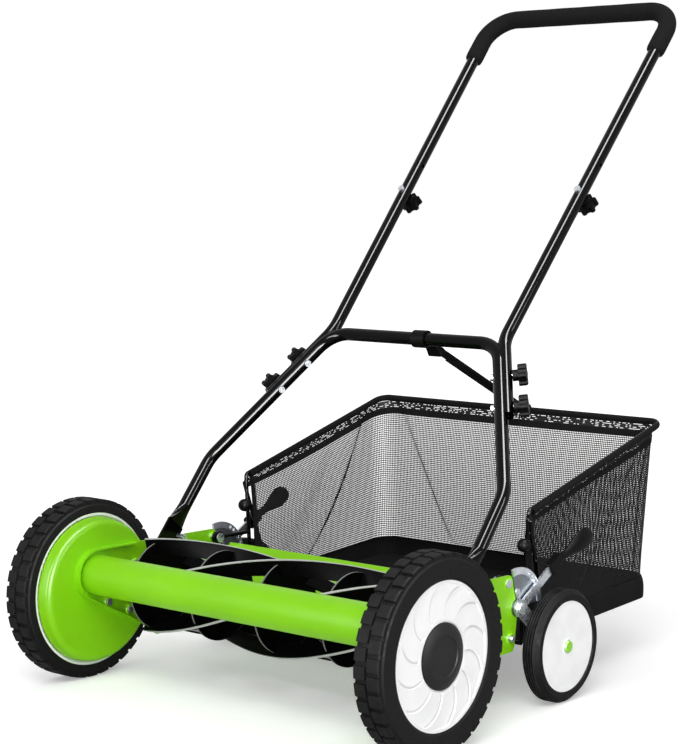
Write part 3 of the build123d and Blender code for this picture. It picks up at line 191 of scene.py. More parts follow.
class Finish:
    """A node material that is put together call by call; each call returns an output socket."""

    def __init__(self, name, color, roughness, metallic=0.0):
        self.material = bpy.data.materials.new(name)
        self.material.use_nodes = True
        self.tree = self.material.node_tree
        self.shader = self.tree.nodes["Principled BSDF"]
        self.shader.inputs["Base Color"].default_value = (*color, 1.0)
        self.shader.inputs["Roughness"].default_value = roughness
        self.shader.inputs["Metallic"].default_value = metallic
        self.base = tuple(color)
        place = self.tree.nodes.new("ShaderNodeTexCoord")
        self.place = place.outputs["Object"]
        self.uv = place.outputs["UV"]

    def node(self, kind, **links):
        """Adds a node; keyword values go to inputs of that name, as links or constants."""
        made = self.tree.nodes.new(kind)
        for key, value in links.items():
            socket = made.inputs[key.replace("_", " ")]
            if isinstance(value, bpy.types.NodeSocket):
                self.tree.links.new(value, socket)
            else:
                socket.default_value = value
        return made

    def link(self, output, name):
        """Leads an output into the shader's socket of that name."""
        self.tree.links.new(output, self.shader.inputs[name])

    def set(self, **values):
        """Sets constants on the shader's own sockets."""
        for key, value in values.items():
            self.shader.inputs[key.replace("_", " ")].default_value = value

    def noise(self, scale, detail=3.0, vector=None, roughness=0.5):
        """Noise of a spatial frequency per metre."""
        made = self.node("ShaderNodeTexNoise", Vector=vector or self.place, Scale=scale, Detail=detail,
                         Roughness=roughness)
        return made.outputs["Fac"]

    def cells(self, scale, vector=None):
        """Distance to the nearest of many scattered points."""
        return self.node("ShaderNodeTexVoronoi", Vector=vector or self.place, Scale=scale).outputs["Distance"]

    def stretch(self, scale, shift=(0, 0, 0), turn=(0, 0, 0), vector=None):
        """Coordinates moved, turned and scaled."""
        made = self.node("ShaderNodeMapping", Vector=vector or self.place, Location=shift, Rotation=turn,
                         Scale=scale)
        return made.outputs["Vector"]

    def math(self, kind, first, second=0.0):
        """One sum on two values."""
        made = self.tree.nodes.new("ShaderNodeMath")
        made.operation = kind
        for socket, value in zip(made.inputs, (first, second)):
            if isinstance(value, bpy.types.NodeSocket):
                self.tree.links.new(value, socket)
            else:
                socket.default_value = value
        return made.outputs[0]

    def range(self, value, low, high, to_low=0.0, to_high=1.0):
        """A value carried from one range to another, held at both ends."""
        made = self.node("ShaderNodeMapRange", Value=value)
        made.inputs["From Min"].default_value = low
        made.inputs["From Max"].default_value = high
        made.inputs["To Min"].default_value = to_low
        made.inputs["To Max"].default_value = to_high
        return made.outputs["Result"]

    def mix(self, factor, first, second):
        """A colour between two others."""
        made = self.tree.nodes.new("ShaderNodeMix")
        made.data_type = "RGBA"
        for name, value in (("Factor_Float", factor), ("A_Color", first), ("B_Color", second)):
            socket = next(s for s in made.inputs if s.identifier == name)
            if isinstance(value, bpy.types.NodeSocket):
                self.tree.links.new(value, socket)
            elif name == "Factor_Float":
                socket.default_value = value
            else:
                socket.default_value = (*value, 1.0)
        return next(s for s in made.outputs if s.identifier == "Result_Color")

    def bump(self, height, strength, distance=0.001):
        """Small relief from a height value."""
        made = self.node("ShaderNodeBump", Height=height, Strength=strength, Distance=distance)
        self.link(made.outputs["Normal"], "Normal")
        return made

    def radius(self, axis_point):
        """Distance from a cross axis through a point."""
        moved = self.stretch((0.0, 1.0, 1.0), (0.0, -axis_point[1], -axis_point[2]))
        made = self.node("ShaderNodeVectorMath", Vector=moved)
        made.operation = "LENGTH"
        return made.outputs["Value"]

    def angle(self, axis_point):
        """Turn about a cross axis through a point, from the rear upward, in radians."""
        moved = self.stretch((0.0, 1.0, 1.0), (0.0, -axis_point[1], -axis_point[2]))
        part = self.node("ShaderNodeSeparateXYZ", Vector=moved)
        return self.math("ARCTAN2", part.outputs["Z"], part.outputs["Y"])

    def shade(self, amount):
        """The base colour made darker or lighter by a share."""
        return tuple(min(1.0, channel * amount) for channel in self.base)

    def mottle(self, scale, low, high, detail=3.0):
        """Base colour that drifts between two shares of itself."""
        drift = self.range(self.noise(scale, detail), 0.3, 0.7)
        self.link(self.mix(drift, self.shade(low), self.shade(high)), "Base Color")


def gloss_paint(name, color, roughness=0.22, coat=0.5, specular=0.5):
    """Sprayed paint: faint drift of tone, orange-peel relief and a clear coat."""
    paint = Finish(name, color, roughness)
    paint.mottle(9.0, 0.95, 1.04)
    paint.link(paint.range(paint.noise(40.0, 3.0), 0.3, 0.7, roughness * 0.9, roughness * 1.15), "Roughness")
    paint.bump(paint.noise(320.0, 1.0), 0.02, 0.0004)
    paint.set(Coat_Weight=coat, Coat_Roughness=0.12, Specular_IOR_Level=specular)
    return paint.material


def moulded_plastic(name, color, roughness, specular=0.5, grain=1500.0, relief=0.10):
    """Moulded plastic: fine grain and slight drift of tone."""
    plastic = Finish(name, color, roughness)
    plastic.mottle(25.0, 0.92, 1.06)
    polish = plastic.range(plastic.noise(180.0, 4.0), 0.3, 0.7, roughness * 0.85, roughness * 1.2)
    plastic.link(polish, "Roughness")
    plastic.bump(plastic.noise(grain, 3.0), relief, 0.0004)
    plastic.set(Specular_IOR_Level=specular)
    return plastic.material


def swirled_plastic(name, color, axis_point, inner, reach, roughness):
    """White plastic of the wheel face, with painted shade in the twelve curved grooves beside its vanes."""
    plastic = Finish(name, color, roughness)
    out = plastic.range(plastic.radius(axis_point), inner, inner + reach)
    bend = plastic.math("ADD", plastic.math("MULTIPLY", out, 0.02), plastic.math("MULTIPLY", plastic.math(
        "POWER", out, 2.0), radians(22.0) - 0.02))
    turn = plastic.math("ADD", plastic.angle(axis_point), bend)
    share = plastic.math("FRACT", plastic.math("ADD", plastic.math("MULTIPLY", turn, 6.0 / np.pi), 6.0))
    # Painted shade at the foot of each vane's step, where the groove lies in shade
    groove = plastic.math("MULTIPLY", plastic.range(share, 0.86, 0.97), plastic.range(share, 1.0, 0.985))
    ends = plastic.math("MULTIPLY", plastic.range(out, 0.0, 0.04), plastic.range(out, 1.0, 0.96))
    drift = plastic.range(plastic.noise(25.0, 3.0), 0.3, 0.7, 0.0, 0.15)
    # The painted groove shade joined with a slight random drift of tone
    shadow = plastic.math("MAXIMUM", plastic.math("MULTIPLY", groove, ends), drift)
    plastic.link(plastic.mix(shadow, plastic.shade(1.0), plastic.shade(0.62)), "Base Color")
    plastic.bump(plastic.noise(1500.0, 3.0), 0.1, 0.0004)
    plastic.set(Specular_IOR_Level=0.2)
    return plastic.material


def ringed_finish(name, color, axis_point, edge, inner, roughness=0.3):
    """Plated steel outside a radius about a cross axis, another finish inside it: (colour, metallic)."""
    ring = Finish(name, color, roughness)
    outside = ring.range(ring.radius(axis_point), edge, edge + 0.0003)
    patch = ring.range(ring.cells(150.0), 0.0, 0.9)
    plate = ring.mix(patch, ring.shade(0.85), ring.shade(1.1))
    drift = ring.range(ring.noise(60.0, 3.0), 0.3, 0.7)
    middle = ring.mix(drift, tuple(c * 0.9 for c in inner[0]), tuple(c * 1.1 for c in inner[0]))
    ring.link(ring.mix(outside, middle, plate), "Base Color")
    ring.link(ring.range(outside, 0.0, 1.0, inner[1], 1.0), "Metallic")
    ring.bump(ring.noise(500.0, 3.0), 0.06, 0.0003)
    return ring.material


def plated_steel(name, color, roughness):
    """Zinc-plated steel: small crystal patches and fine scratches."""
    zinc = Finish(name, color, roughness, 1.0)
    patch = zinc.range(zinc.cells(140.0), 0.0, 0.9)
    zinc.link(zinc.mix(patch, zinc.shade(0.94), zinc.shade(1.05)), "Base Color")
    zinc.link(zinc.range(zinc.noise(300.0, 4.0), 0.3, 0.7, roughness * 0.75, roughness * 1.35), "Roughness")
    scratch = zinc.noise(1.0, 2.0, zinc.stretch((3000.0, 400.0, 400.0)))
    zinc.bump(scratch, 0.08, 0.0003)
    return zinc.material


def turned_steel(name, color, roughness):
    """Machined steel with fine rings from the lathe."""
    steel = Finish(name, color, roughness, 1.0)
    rings = steel.noise(1.0, 2.0, steel.stretch((2500.0, 60.0, 60.0)))
    steel.link(steel.mix(steel.range(rings, 0.3, 0.7), steel.shade(0.8), steel.shade(1.1)), "Base Color")
    steel.bump(rings, 0.1, 0.0003)
    return steel.material


def ground_edge_steel(name, color, axis_point, edge_from, edge_to, bright):
    """Black painted steel whose outer edge is ground to a bright tone."""
    steel = Finish(name, color, 0.34)
    edge = steel.range(steel.radius(axis_point), edge_from, edge_to)
    wear = steel.range(steel.noise(220.0, 4.0), 0.42, 0.62)
    drift = steel.mix(wear, steel.shade(0.8), steel.shade(1.6))
    steel.link(steel.mix(edge, drift, (bright, bright, bright)), "Base Color")
    steel.set(Specular_IOR_Level=0.015)
    steel.bump(steel.noise(1.0, 2.0, steel.stretch((30.0, 900.0, 900.0))), 0.08, 0.0003)
    return steel.material


def tyre_rubber(name, color, axis_point, crown_from, crown_to, crown_dust_and_highlight=1.5):
    """Moulded rubber, paler on the running face: partly dust, partly a painted highlight on the tread crowns.
    """
    rubber = Finish(name, color, 0.62)
    # Painted highlight mixed with dust: the tread crowns are lightened, the grooves and sides below stay darker
    dust_and_highlight = rubber.math("MULTIPLY", rubber.range(rubber.radius(axis_point), crown_from, crown_to),
                       rubber.range(rubber.noise(70.0, 5.0), 0.3, 0.75))
    rubber.link(rubber.mix(dust_and_highlight, rubber.shade(0.8), rubber.shade(crown_dust_and_highlight)), "Base Color")
    rubber.link(rubber.range(rubber.noise(140.0, 4.0), 0.3, 0.7, 0.5, 0.75), "Roughness")
    rubber.bump(rubber.noise(900.0, 4.0), 0.2, 0.0005)
    rubber.set(Specular_IOR_Level=0.05)
    return rubber.material


def woven_cloth(name, color, threads, relief=0.4):
    """Plain weave on the piece's own map: two crossed waves with a thread count per metre."""
    cloth = Finish(name, color, 0.85)
    across = cloth.node("ShaderNodeTexWave", Vector=cloth.uv, Scale=threads)
    across.bands_direction = "X"
    along = cloth.node("ShaderNodeTexWave", Vector=cloth.uv, Scale=threads)
    along.bands_direction = "Y"
    weave = cloth.math("MAXIMUM", across.outputs["Fac"], along.outputs["Fac"])
    drift = cloth.range(cloth.noise(30.0, 4.0), 0.3, 0.7)
    tone = cloth.math("MULTIPLY", weave, drift)
    cloth.link(cloth.mix(tone, cloth.shade(0.7), cloth.shade(1.7)), "Base Color")
    cloth.bump(weave, relief, 0.0006)
    cloth.set(Specular_IOR_Level=0.04)
    return cloth.material


def foam_skin(name, color):
    """Closed-cell foam: dense small pores and a dull skin."""
    foam = Finish(name, color, 0.9)
    pores = foam.cells(700.0)
    foam.link(foam.mix(foam.range(pores, 0.1, 0.6), foam.shade(0.6), foam.shade(1.35)), "Base Color")
    foam.bump(foam.math("ADD", pores, foam.noise(250.0, 4.0)), 0.35, 0.0008)
    foam.set(Specular_IOR_Level=0.03)
    return foam.material


def coat_nodes(material, *names):
    """Gives solids a finish through their own material slots."""
    for name in names:
        solid = nodes[name]
        if not solid.material_slots:
            solid.data.materials.append(material)
        for held in solid.material_slots:
            held.material = material


def pair(*names):
    """The left and right node of each name."""
    return [f"{name}_{side}" for name in names for side in SIDES]


# Surfaces from arrays

def grid_faces(rows, columns, closed=False):
    """Corner numbers of the quads of a grid; a closed grid joins its last column to its first."""
    row = np.arange(rows - 1)[:, None]
    column = np.arange(columns if closed else columns - 1)[None, :]
    after = (column + 1) % columns
    first = row * columns + column
    second = row * columns + after
    return np.stack([first, second, second + columns, first + columns], -1).reshape(-1, 4)


def new_piece(name, points, faces, material, body, uv=None, smooth=True):
    """Puts arrays of points and quads into a mesh object that rides on a body."""
    mesh = bpy.data.meshes.new(name)
    mesh.from_pydata(points.reshape(-1, 3).tolist(), [], faces.tolist())
    mesh.validate()
    mesh.polygons.foreach_set("use_smooth", np.full(len(mesh.polygons), smooth))
    if uv is not None:
        layer = mesh.uv_layers.new(name="weave")
        corner = np.empty(len(mesh.loops), dtype=np.int32)
        mesh.loops.foreach_get("vertex_index", corner)
        layer.data.foreach_set("uv", uv.reshape(-1, 2)[corner].astype(np.float32).ravel())
    mesh.materials.append(material)
    piece = bpy.data.objects.new(name, mesh)
    bpy.context.scene.collection.objects.link(piece)
    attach(piece, body)
    return piece


def unit(vectors):
    """Vectors of length one."""
    return vectors / np.linalg.norm(vectors, axis=-1, keepdims=True)


def rounded_path(corners, bends, step=0.004):
    """Points along straight runs whose corners are replaced by arcs of the given radii."""
    corners = [np.asarray(corner, float) for corner in corners]
    runs = [corners[0][None]]
    for before, corner, after, bend in zip(corners, corners[1:], corners[2:], bends):
        come, leave = unit(corner - before), unit(after - corner)
        half = np.arccos(np.clip(come @ leave, -1, 1)) / 2
        reach = bend * np.tan(half)
        start = corner - come * reach
        inward = unit(leave - come)
        centre = corner + inward * bend / np.cos(half)
        turn = np.linspace(-half, half, max(4, int(2 * half * bend / step)))[:, None]
        out = unit(corner - centre)
        side = unit(come + leave)
        runs.append(np.concatenate([start[None], centre + bend * (out * np.cos(turn) + side * np.sin(turn))]))
    runs.append(corners[-1][None])
    path = np.concatenate(runs)
    keep = np.r_[True, np.linalg.norm(np.diff(path, axis=0), axis=1) > 1e-6]
    path = path[keep]
    far = np.r_[0, np.cumsum(np.linalg.norm(np.diff(path, axis=0), axis=1))]
    even = np.linspace(0, far[-1], int(far[-1] / step) + 1)
    return np.stack([np.interp(even, far, path[:, k]) for k in range(3)], -1)


def tube_surface(path, radius, reference, sides=20, tall=1.0):
    """An oval carried along a flat path; radius is one value or one per point, tall stretches it upward."""
    ahead = unit(np.gradient(path, axis=0))
    first = unit(np.cross(ahead, np.asarray(reference, float)))
    second = np.cross(first, ahead) * tall
    turn = np.linspace(0, 2 * np.pi, sides, endpoint=False)[None, :, None]
    size = np.broadcast_to(np.asarray(radius, float), len(path))[:, None, None]
    points = path[:, None] + size * (first[:, None] * np.cos(turn) + second[:, None] * np.sin(turn))
    faces = grid_faces(len(path), sides, True)
    far = np.r_[0, np.cumsum(np.linalg.norm(np.diff(path, axis=0), axis=1))]
    uv = np.stack(np.broadcast_arrays(far[:, None], size[..., 0] * turn[..., 0]), -1)
    return points, faces, uv


def closed_band(points_in, points_out):
    """Quads of a thin closed slab between two grids of the same shape, with its four edges."""
    rows, columns = points_in.shape[:2]
    count = rows * columns
    front = grid_faces(rows, columns)
    edge = np.concatenate([
        np.arange(columns), np.arange(1, rows) * columns + columns - 1,
        (rows - 1) * columns + np.arange(columns - 2, -1, -1), np.arange(rows - 2, 0, -1) * columns])
    after = np.roll(edge, -1)
    rim = np.stack([edge, edge + count, after + count, after], -1)
    faces = np.concatenate([front, front[:, ::-1] + count, rim])
    return np.concatenate([points_in.reshape(-1, 3), points_out.reshape(-1, 3)]), faces


# Bag surfaces; lengths run 0 to 1 round the walls from left front to right front, heights 0 to 1 up to the rim

def bag_half(z):
    """Half width of the bag at a height."""
    return BAG_HALF + BAG_SLOPE * z


def bag_line(ends, y, back=BAG_BACK):
    """Height of a straight line along the bag, given at the front and at the back."""
    return ends[0] + (ends[1] - ends[0]) * (y - BAG_FRONT) / (back - BAG_FRONT)


def plan(length):
    """Place on a U-shaped plan with round back corners: shares across and back, and the inward direction."""
    side = PLAN_DEPTH - PLAN_CORNER
    back = 2 * (PLAN_HALF - PLAN_CORNER)
    bend = np.pi / 2 * PLAN_CORNER
    far = np.clip(length, 0, 1) * (2 * side + 2 * bend + back)
    half_way = side + bend + back / 2
    near = half_way - np.abs(far - half_way)
    hand = np.where(far < half_way, 1.0, -1.0)
    turn = np.clip((near - side) / PLAN_CORNER, 0, np.pi / 2)
    across = PLAN_HALF - PLAN_CORNER * (1 - np.cos(turn)) - np.maximum(near - side - bend, 0)
    deep = np.minimum(near, side) + PLAN_CORNER * np.sin(turn)
    inward = np.stack(np.broadcast_arrays(-hand * np.cos(turn), -np.sin(turn), 0 * turn), -1)
    return hand * across / PLAN_HALF, deep / PLAN_DEPTH, inward


def hang(length, height):
    """Share of the sag: each wall is a shallow bowl; soft steps across it make a sharp and a broad crease."""
    edges = np.array([0.0, PLAN_TURN, 1 - PLAN_TURN, 1.0])
    wall = np.clip(np.searchsorted(edges, length, side="right") - 1, 0, 2)
    share = np.clip((length - edges[wall]) / (edges[wall + 1] - edges[wall]), 0, 1)
    back = wall == 1
    toward = np.where(wall == 2, 1 - share, share)
    bowl = (np.sin(np.pi * share) * np.sin(np.pi * np.clip(height, 0, 1))) ** 0.6
    line = np.where(back, 0.72 + 0.22 * height, 0.375 + 0.56 * height - 0.05 * height ** 2)
    sharp = np.tanh((line - toward) / np.where(back, 0.009, 0.015)) * np.where(wall == 0, -0.5, 1.0)
    broad = np.tanh((line - 0.27 - toward) / 0.05)
    fold = np.sin(2 * np.pi * (1.7 * share + 0.6 * height) + wall)
    return bowl * (1.0 + 0.8 * sharp + np.where(back, 0.0, 0.22) * broad + 0.1 * fold)


def bag_wall(length, height, sag):
    """Point on the netted walls, hung inward by the sag; heights run from the seam to the rim."""
    length, height = np.broadcast_arrays(length, height)
    across, deep, inward = plan(length)
    y = BAG_FRONT + deep * (BAG_BACK - BAG_FRONT - BAG_WALL / 2 + BAG_LEAN * height)
    low, high = bag_line(BAG_SEAM, y), bag_line(BAG_TOP, y, BAG_BACK + BAG_LEAN)
    z = low + height * (high - low)
    x = across * (bag_half(z) - BAG_WALL / 2)
    return np.stack([x, y, z], -1) + inward * (sag * hang(length, height))[..., None]


def wall_part(lengths, heights, sag):
    """The netted walls between two lengths and two heights, as a surface that runs 0 to 1 both ways."""

    def place(length, height):
        return bag_wall(lengths[0] + (lengths[1] - lengths[0]) * length,
                        heights[0] + (heights[1] - heights[0]) * height, sag)

    return place


def bag_skirt(length, height):
    """Point on the cloth below the netting; heights run from the floor to the seam, and the foot bulges out."""
    length, height = np.broadcast_arrays(length, height)
    across, deep, inward = plan(length)
    out = BAG_BULGE * (1 - height ** 3)
    y = BAG_FRONT + deep * (BAG_BACK - BAG_FRONT + out)
    low, high = bag_line(BAG_BASE, y), bag_line(BAG_SEAM, y) + 0.0015
    z = low + height * (high - low)
    x = across * (bag_half(z) + 0.6 * out * np.clip(4 * deep, 0, 1))
    return np.stack([x, y, z], -1)


def thread_family(surface, fixed, along, swap, width, depth):
    """Square threads on a surface: each keeps one parameter and runs along the other."""
    step = 1e-4

    def place(across, run):
        return surface(run, across) if swap else surface(across, run)

    across = np.broadcast_to(fixed[:, None], (len(fixed), len(along)))
    run = np.broadcast_to(along[None, :], across.shape)
    middle = place(across, run)
    side = unit(place(across + step, run) - place(across - step, run))
    ahead = unit(place(across, np.clip(run + step, 0, 1)) - place(across, np.clip(run - step, 0, 1)))
    out = unit(np.cross(side, ahead))
    corner = np.array([[-1, -1], [1, -1], [1, 1], [-1, 1]]) / 2
    points = (middle[:, :, None] + side[:, :, None] * corner[:, :1] * width
              + out[:, :, None] * corner[:, 1:] * depth)
    block = len(along) * 4
    wall = grid_faces(len(along), 4, True)
    caps = np.array([[3, 2, 1, 0], [block - 4, block - 3, block - 2, block - 1]])
    one = np.concatenate([wall, caps])
    faces = (one[None] + (np.arange(len(fixed)) * block)[:, None, None]).reshape(-1, 4)
    return points.reshape(-1, 3), faces


def netting(surface, size, pitch, width, depth):
    """Crossed threads of a plain open net; width is that of the upright and of the level threads."""
    wide, high = size
    warp = np.linspace(0.004, 0.996, int(wide / pitch))
    weft = np.linspace(0.006, 0.994, int(high / pitch))
    tall = np.linspace(0, 1, int(high / 0.006))
    broad = np.linspace(0, 1, int(wide / 0.003))
    first, first_faces = thread_family(surface, warp, tall, False, width[0], depth)
    second, second_faces = thread_family(surface, weft, broad, True, width[1], depth)
    return np.concatenate([first, second]), np.concatenate([first_faces, second_faces + len(first)])


def torn_strip(surface, rows, columns, share, depth):
    """A doubled strip of netting: closed cells of cloth; every third row leaves a share of its cells open."""
    chance = np.random.default_rng(5).random((columns, rows))
    chance[:, np.arange(rows) % 3 != 2] = 1.0
    column, row = np.nonzero(chance > share)
    corner = np.array([[0, 0], [1, 0], [1, 1], [0, 1]])
    length = (column[:, None] + corner[:, 0]) / columns
    middle = surface(length, (row[:, None] + corner[:, 1]) / rows)
    half = -plan(length)[2] * depth / 2
    points = np.concatenate([middle + half, middle - half], axis=1)
    box = np.array([[0, 1, 2, 3], [7, 6, 5, 4], [1, 0, 4, 5], [2, 1, 5, 6], [3, 2, 6, 7], [0, 3, 7, 4]])
    faces = (box[None] + 8 * np.arange(len(column))[:, None, None]).reshape(-1, 4)
    return points.reshape(-1, 3), faces


# Operators, one for each group of like pieces

class MOWER_OT_stage(Operator):
    """Sets up the floor, the surround, the lamps and the camera"""
    bl_idname = "mower.stage"
    bl_label = "Stage"

    def execute(self, context):
        stage = settings().stage
        scene = context.scene
        scene.view_settings.view_transform = "Standard"

        camera = bpy.data.cameras.new("photo_camera")
        camera.lens = stage.lens
        camera.sensor_width = 36.0
        camera.shift_x, camera.shift_y = stage.shift
        seat = bpy.data.objects.new("photo_camera", camera)
        seat.location = stage.camera_place
        seat.rotation_euler = (radians(90.0 - stage.elevation), 0.0, radians(stage.azimuth))
        scene.collection.objects.link(seat)
        scene.camera = seat

        world = bpy.data.worlds.new("surround")
        world.use_nodes = True
        tree = world.node_tree
        background = tree.nodes["Background"]
        background.inputs["Color"].default_value = (1.0, 1.0, 1.0, 1.0)
        path = tree.nodes.new("ShaderNodeLightPath")
        seen = path.outputs["Is Camera Ray"]
        for kind in ("Is Glossy Ray", "Is Transmission Ray"):
            either = tree.nodes.new("ShaderNodeMath")
            either.operation = "MAXIMUM"
            tree.links.new(seen, either.inputs[0])
            tree.links.new(path.outputs[kind], either.inputs[1])
            seen = either.outputs[0]
        level = tree.nodes.new("ShaderNodeMapRange")
        level.inputs["To Min"].default_value = stage.world_level
        level.inputs["To Max"].default_value = 1.0
        tree.links.new(seen, level.inputs["Value"])
        tree.links.new(level.outputs["Result"], background.inputs["Strength"])
        scene.world = world

        self.floor()
        panel = stage.panel_level * np.pi
        lamps = (
            ("key", (1.6, -2.4, 3.2), (48, 0, 32), (2.2, 2.2), stage.key_power, True),
            ("fill", (2.6, -2.8, 0.9), (82, 0, 43), (1.6, 1.2), stage.key_power * 0.22, True),
            ("front_panel", (2.35, -2.15, 0.9), (90, 0, 43), (1.25, 2.0), panel * 2.5, False),
            ("side_panel", (-0.75, -2.6, 1.0), (90, 0, -14), (0.6, 2.4), panel * 1.44 * 0.5, False),
            ("top_panel", (1.05, -0.6, 3.2), (0, 20, 0), (0.75, 3.2), panel * 1.8, False),
            ("rear_panel", (3.4, 0.9, 1.2), (88, 0, 100), (0.5, 2.2), panel * 1.1 * 0.4, False),
        )
        for name, place, turn, size, power, lights in lamps:
            light = bpy.data.lights.new(name, "AREA")
            light.shape = "RECTANGLE"
            light.size, light.size_y = size
            light.energy = power
            lamp = bpy.data.objects.new(name, light)
            lamp.location = place
            lamp.rotation_euler = [radians(angle) for angle in turn]
            lamp.visible_diffuse = lights
            scene.collection.objects.link(lamp)
        return {"FINISHED"}

    @staticmethod
    def floor():
        """A wide pale floor that the camera sees as white where no shadow falls."""
        reach = 30.0
        mesh = bpy.data.meshes.new("studio_floor")
        mesh.from_pydata([(-reach, -reach, 0), (reach, -reach, 0), (reach, reach, 0), (-reach, reach, 0)], [],
                         [(0, 1, 2, 3)])
        paper = Finish("studio_paper", (0.97, 0.97, 0.97), 0.9)
        paper.mottle(3.0, 0.995, 1.005)
        paper.set(Specular_IOR_Level=0.0)
        path = paper.tree.nodes.new("ShaderNodeLightPath")
        away = paper.node("ShaderNodeVectorMath", Vector=paper.stretch((1.0, 1.0, 0.0), (0.0, -0.25, 0.0)))
        away.operation = "LENGTH"
        level = paper.range(away.outputs["Value"], 0.6, 2.6, 0.30, 0.59)
        paper.set(Emission_Color=(1.0, 1.0, 1.0, 1.0))
        paper.link(paper.math("MULTIPLY", path.outputs["Is Camera Ray"], level), "Emission Strength")
        mesh.materials.append(paper.material)
        floor = bpy.data.objects.new("studio_floor", mesh)
        bpy.context.scene.collection.objects.link(floor)


class MOWER_OT_green_chassis(Operator):
    """Paints the tube, plates, covers and deflector green"""
    bl_idname = "mower.green_chassis"
    bl_label = "Green chassis"

    def execute(self, context):
        green = gloss_paint("green_paint", settings().finish.green, 0.34, 0.0, 0.14)
        coat_nodes(green, "front_tube", "rear_deflector", *pair("side_plate", "dust_cover"))
        return {"FINISHED"}


class MOWER_OT_handle(Operator):
    """Paints the handle tubes, the bag wires and the bed bar black"""
    bl_idname = "mower.handle"
    bl_label = "Handle tubes"

    def execute(self, context):
        black = gloss_paint("black_paint", settings().finish.black, 0.10, 0.0, 0.10)
        coat_nodes(black, "lower_handle", "upper_handle", "catcher_frame", "bed_bar", *pair("mid_tube"))
        return {"FINISHED"}


class MOWER_OT_reel(Operator):
    """Finishes the blades, discs, shaft, pinions and bed knife"""
    bl_idname = "mower.reel"
    bl_label = "Cutting reel"

    def execute(self, context):
        black = settings().finish.black
        coat_nodes(ground_edge_steel("blade_steel", black, REEL_AXIS, *BLADE_GROUND, 0.55), "reel_blades")
        coat_nodes(ground_edge_steel("disc_steel", black, REEL_AXIS, *DISC_GROUND, 0.22), "reel_discs")
        coat_nodes(turned_steel("turned_steel", (0.50, 0.50, 0.51), 0.32), "reel_shaft", "bed_knife",
                   *pair("pinion", "stub_axle", "rear_axle", "reel_bearing"))
        return {"FINISHED"}


class MOWER_OT_plated_fittings(Operator):
    """Plates the sectors, levers and fasteners"""
    bl_idname = "mower.plated_fittings"
    bl_label = "Plated fittings"

    def execute(self, context):
        zinc = plated_steel("zinc_plate", (0.43, 0.45, 0.48), 0.30)
        coat_nodes(zinc, "handle_bolts", *pair("height_lever", "frame_bolts", "pivot_bolts"))
        sector = ringed_finish("sector_zinc", (0.50, 0.53, 0.57), LEVER_AXIS, SECTOR_EDGE,
                               ((0.16, 0.18, 0.20), 0.9))
        coat_nodes(sector, *pair("sector_plate"))
        return {"FINISHED"}


class MOWER_OT_drive_wheels(Operator):
    """Finishes the drive wheels: tyre, white disc and black cap"""
    bl_idname = "mower.drive_wheels"
    bl_label = "Drive wheels"

    def execute(self, context):
        finish = settings().finish
        rim = swirled_plastic("rim_plastic", finish.white, WHEEL_AXIS, VANE_INNER, VANE_REACH, 0.38)
        coat_nodes(tyre_rubber("drive_rubber", finish.rubber, WHEEL_AXIS, *TREAD_DUST_AND_HIGHLIGHT), *pair("drive_tyre"))
        coat_nodes(rim, *pair("drive_rim"))
        coat_nodes(moulded_plastic("cap_plastic", (0.0095, 0.0095, 0.0105), 0.45, 0.10), *pair("hub_cap"))
        return {"FINISHED"}


class MOWER_OT_rear_wheels(Operator):
    """Finishes the rear wheels: tyre and green cap"""
    bl_idname = "mower.rear_wheels"
    bl_label = "Rear wheels"

    def execute(self, context):
        finish = settings().finish
        # The rear ribs get a strong painted highlight, six times the rubber's tone
        tyre = tyre_rubber("rear_rubber", finish.rubber, REAR_AXIS, *REAR_TREAD_DUST_AND_HIGHLIGHT, crown_dust_and_highlight=6.0)
        coat_nodes(tyre, *pair("rear_tyre"))
        coat_nodes(moulded_plastic("white_plastic", finish.white, 0.38, 0.2), *pair("rear_rim"))
        cap = ringed_finish("cap_green_and_ring", (0.50, 0.52, 0.54), REAR_AXIS, REAR_CAP_EDGE,
                            (finish.green, 0.0), 0.25)
        coat_nodes(cap, *pair("rear_cap"))
        return {"FINISHED"}


class MOWER_OT_black_fittings(Operator):
    """Finishes the knobs, lever grips and strap clip"""
    bl_idname = "mower.black_fittings"
    bl_label = "Black fittings"

    def execute(self, context):
        plastic = moulded_plastic("black_plastic", (0.0030, 0.0030, 0.0033), 0.40, 0.04)
        coat_nodes(plastic, "post_knobs", "strap_clip",
                   *pair("lap_upper_knob", "lap_lower_knob", "joint_knob", "lever_grip"))
        return {"FINISHED"}


class MOWER_OT_foam_grip(Operator):
    """Makes the foam sleeve over the top of the handle"""
    bl_idname = "mower.foam_grip"
    bl_label = "Foam grip"

    def execute(self, context):
        rise = unit(GRIP_CORNER - HANDLE_KNEE)
        start = GRIP_CORNER - rise * GRIP_DROP
        corners = [start, GRIP_CORNER, GRIP_CORNER * MIRROR, start * MIRROR]
        path = rounded_path(corners, (GRIP_BEND, GRIP_BEND), 0.003)
        far = np.r_[0, np.cumsum(np.linalg.norm(np.diff(path, axis=0), axis=1))]
        end = np.minimum(far, far[-1] - far)
        ripple = 0.0001 * np.sin(far * 97.0)
        radius = GRIP_RADIUS - 0.0035 * np.exp(-end / 0.0016) + ripple
        radius[[0, -1]] = 0.0096
        points, faces, uv = tube_surface(path, radius, np.cross(rise, (1.0, 0.0, 0.0)), 32)
        grip = new_piece("foam_sleeve", points, faces, foam_skin("grip_foam", (0.0055, 0.0055, 0.0058)),
                         "handle", uv)
        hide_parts("foam_grip")
        return {"FINISHED"}


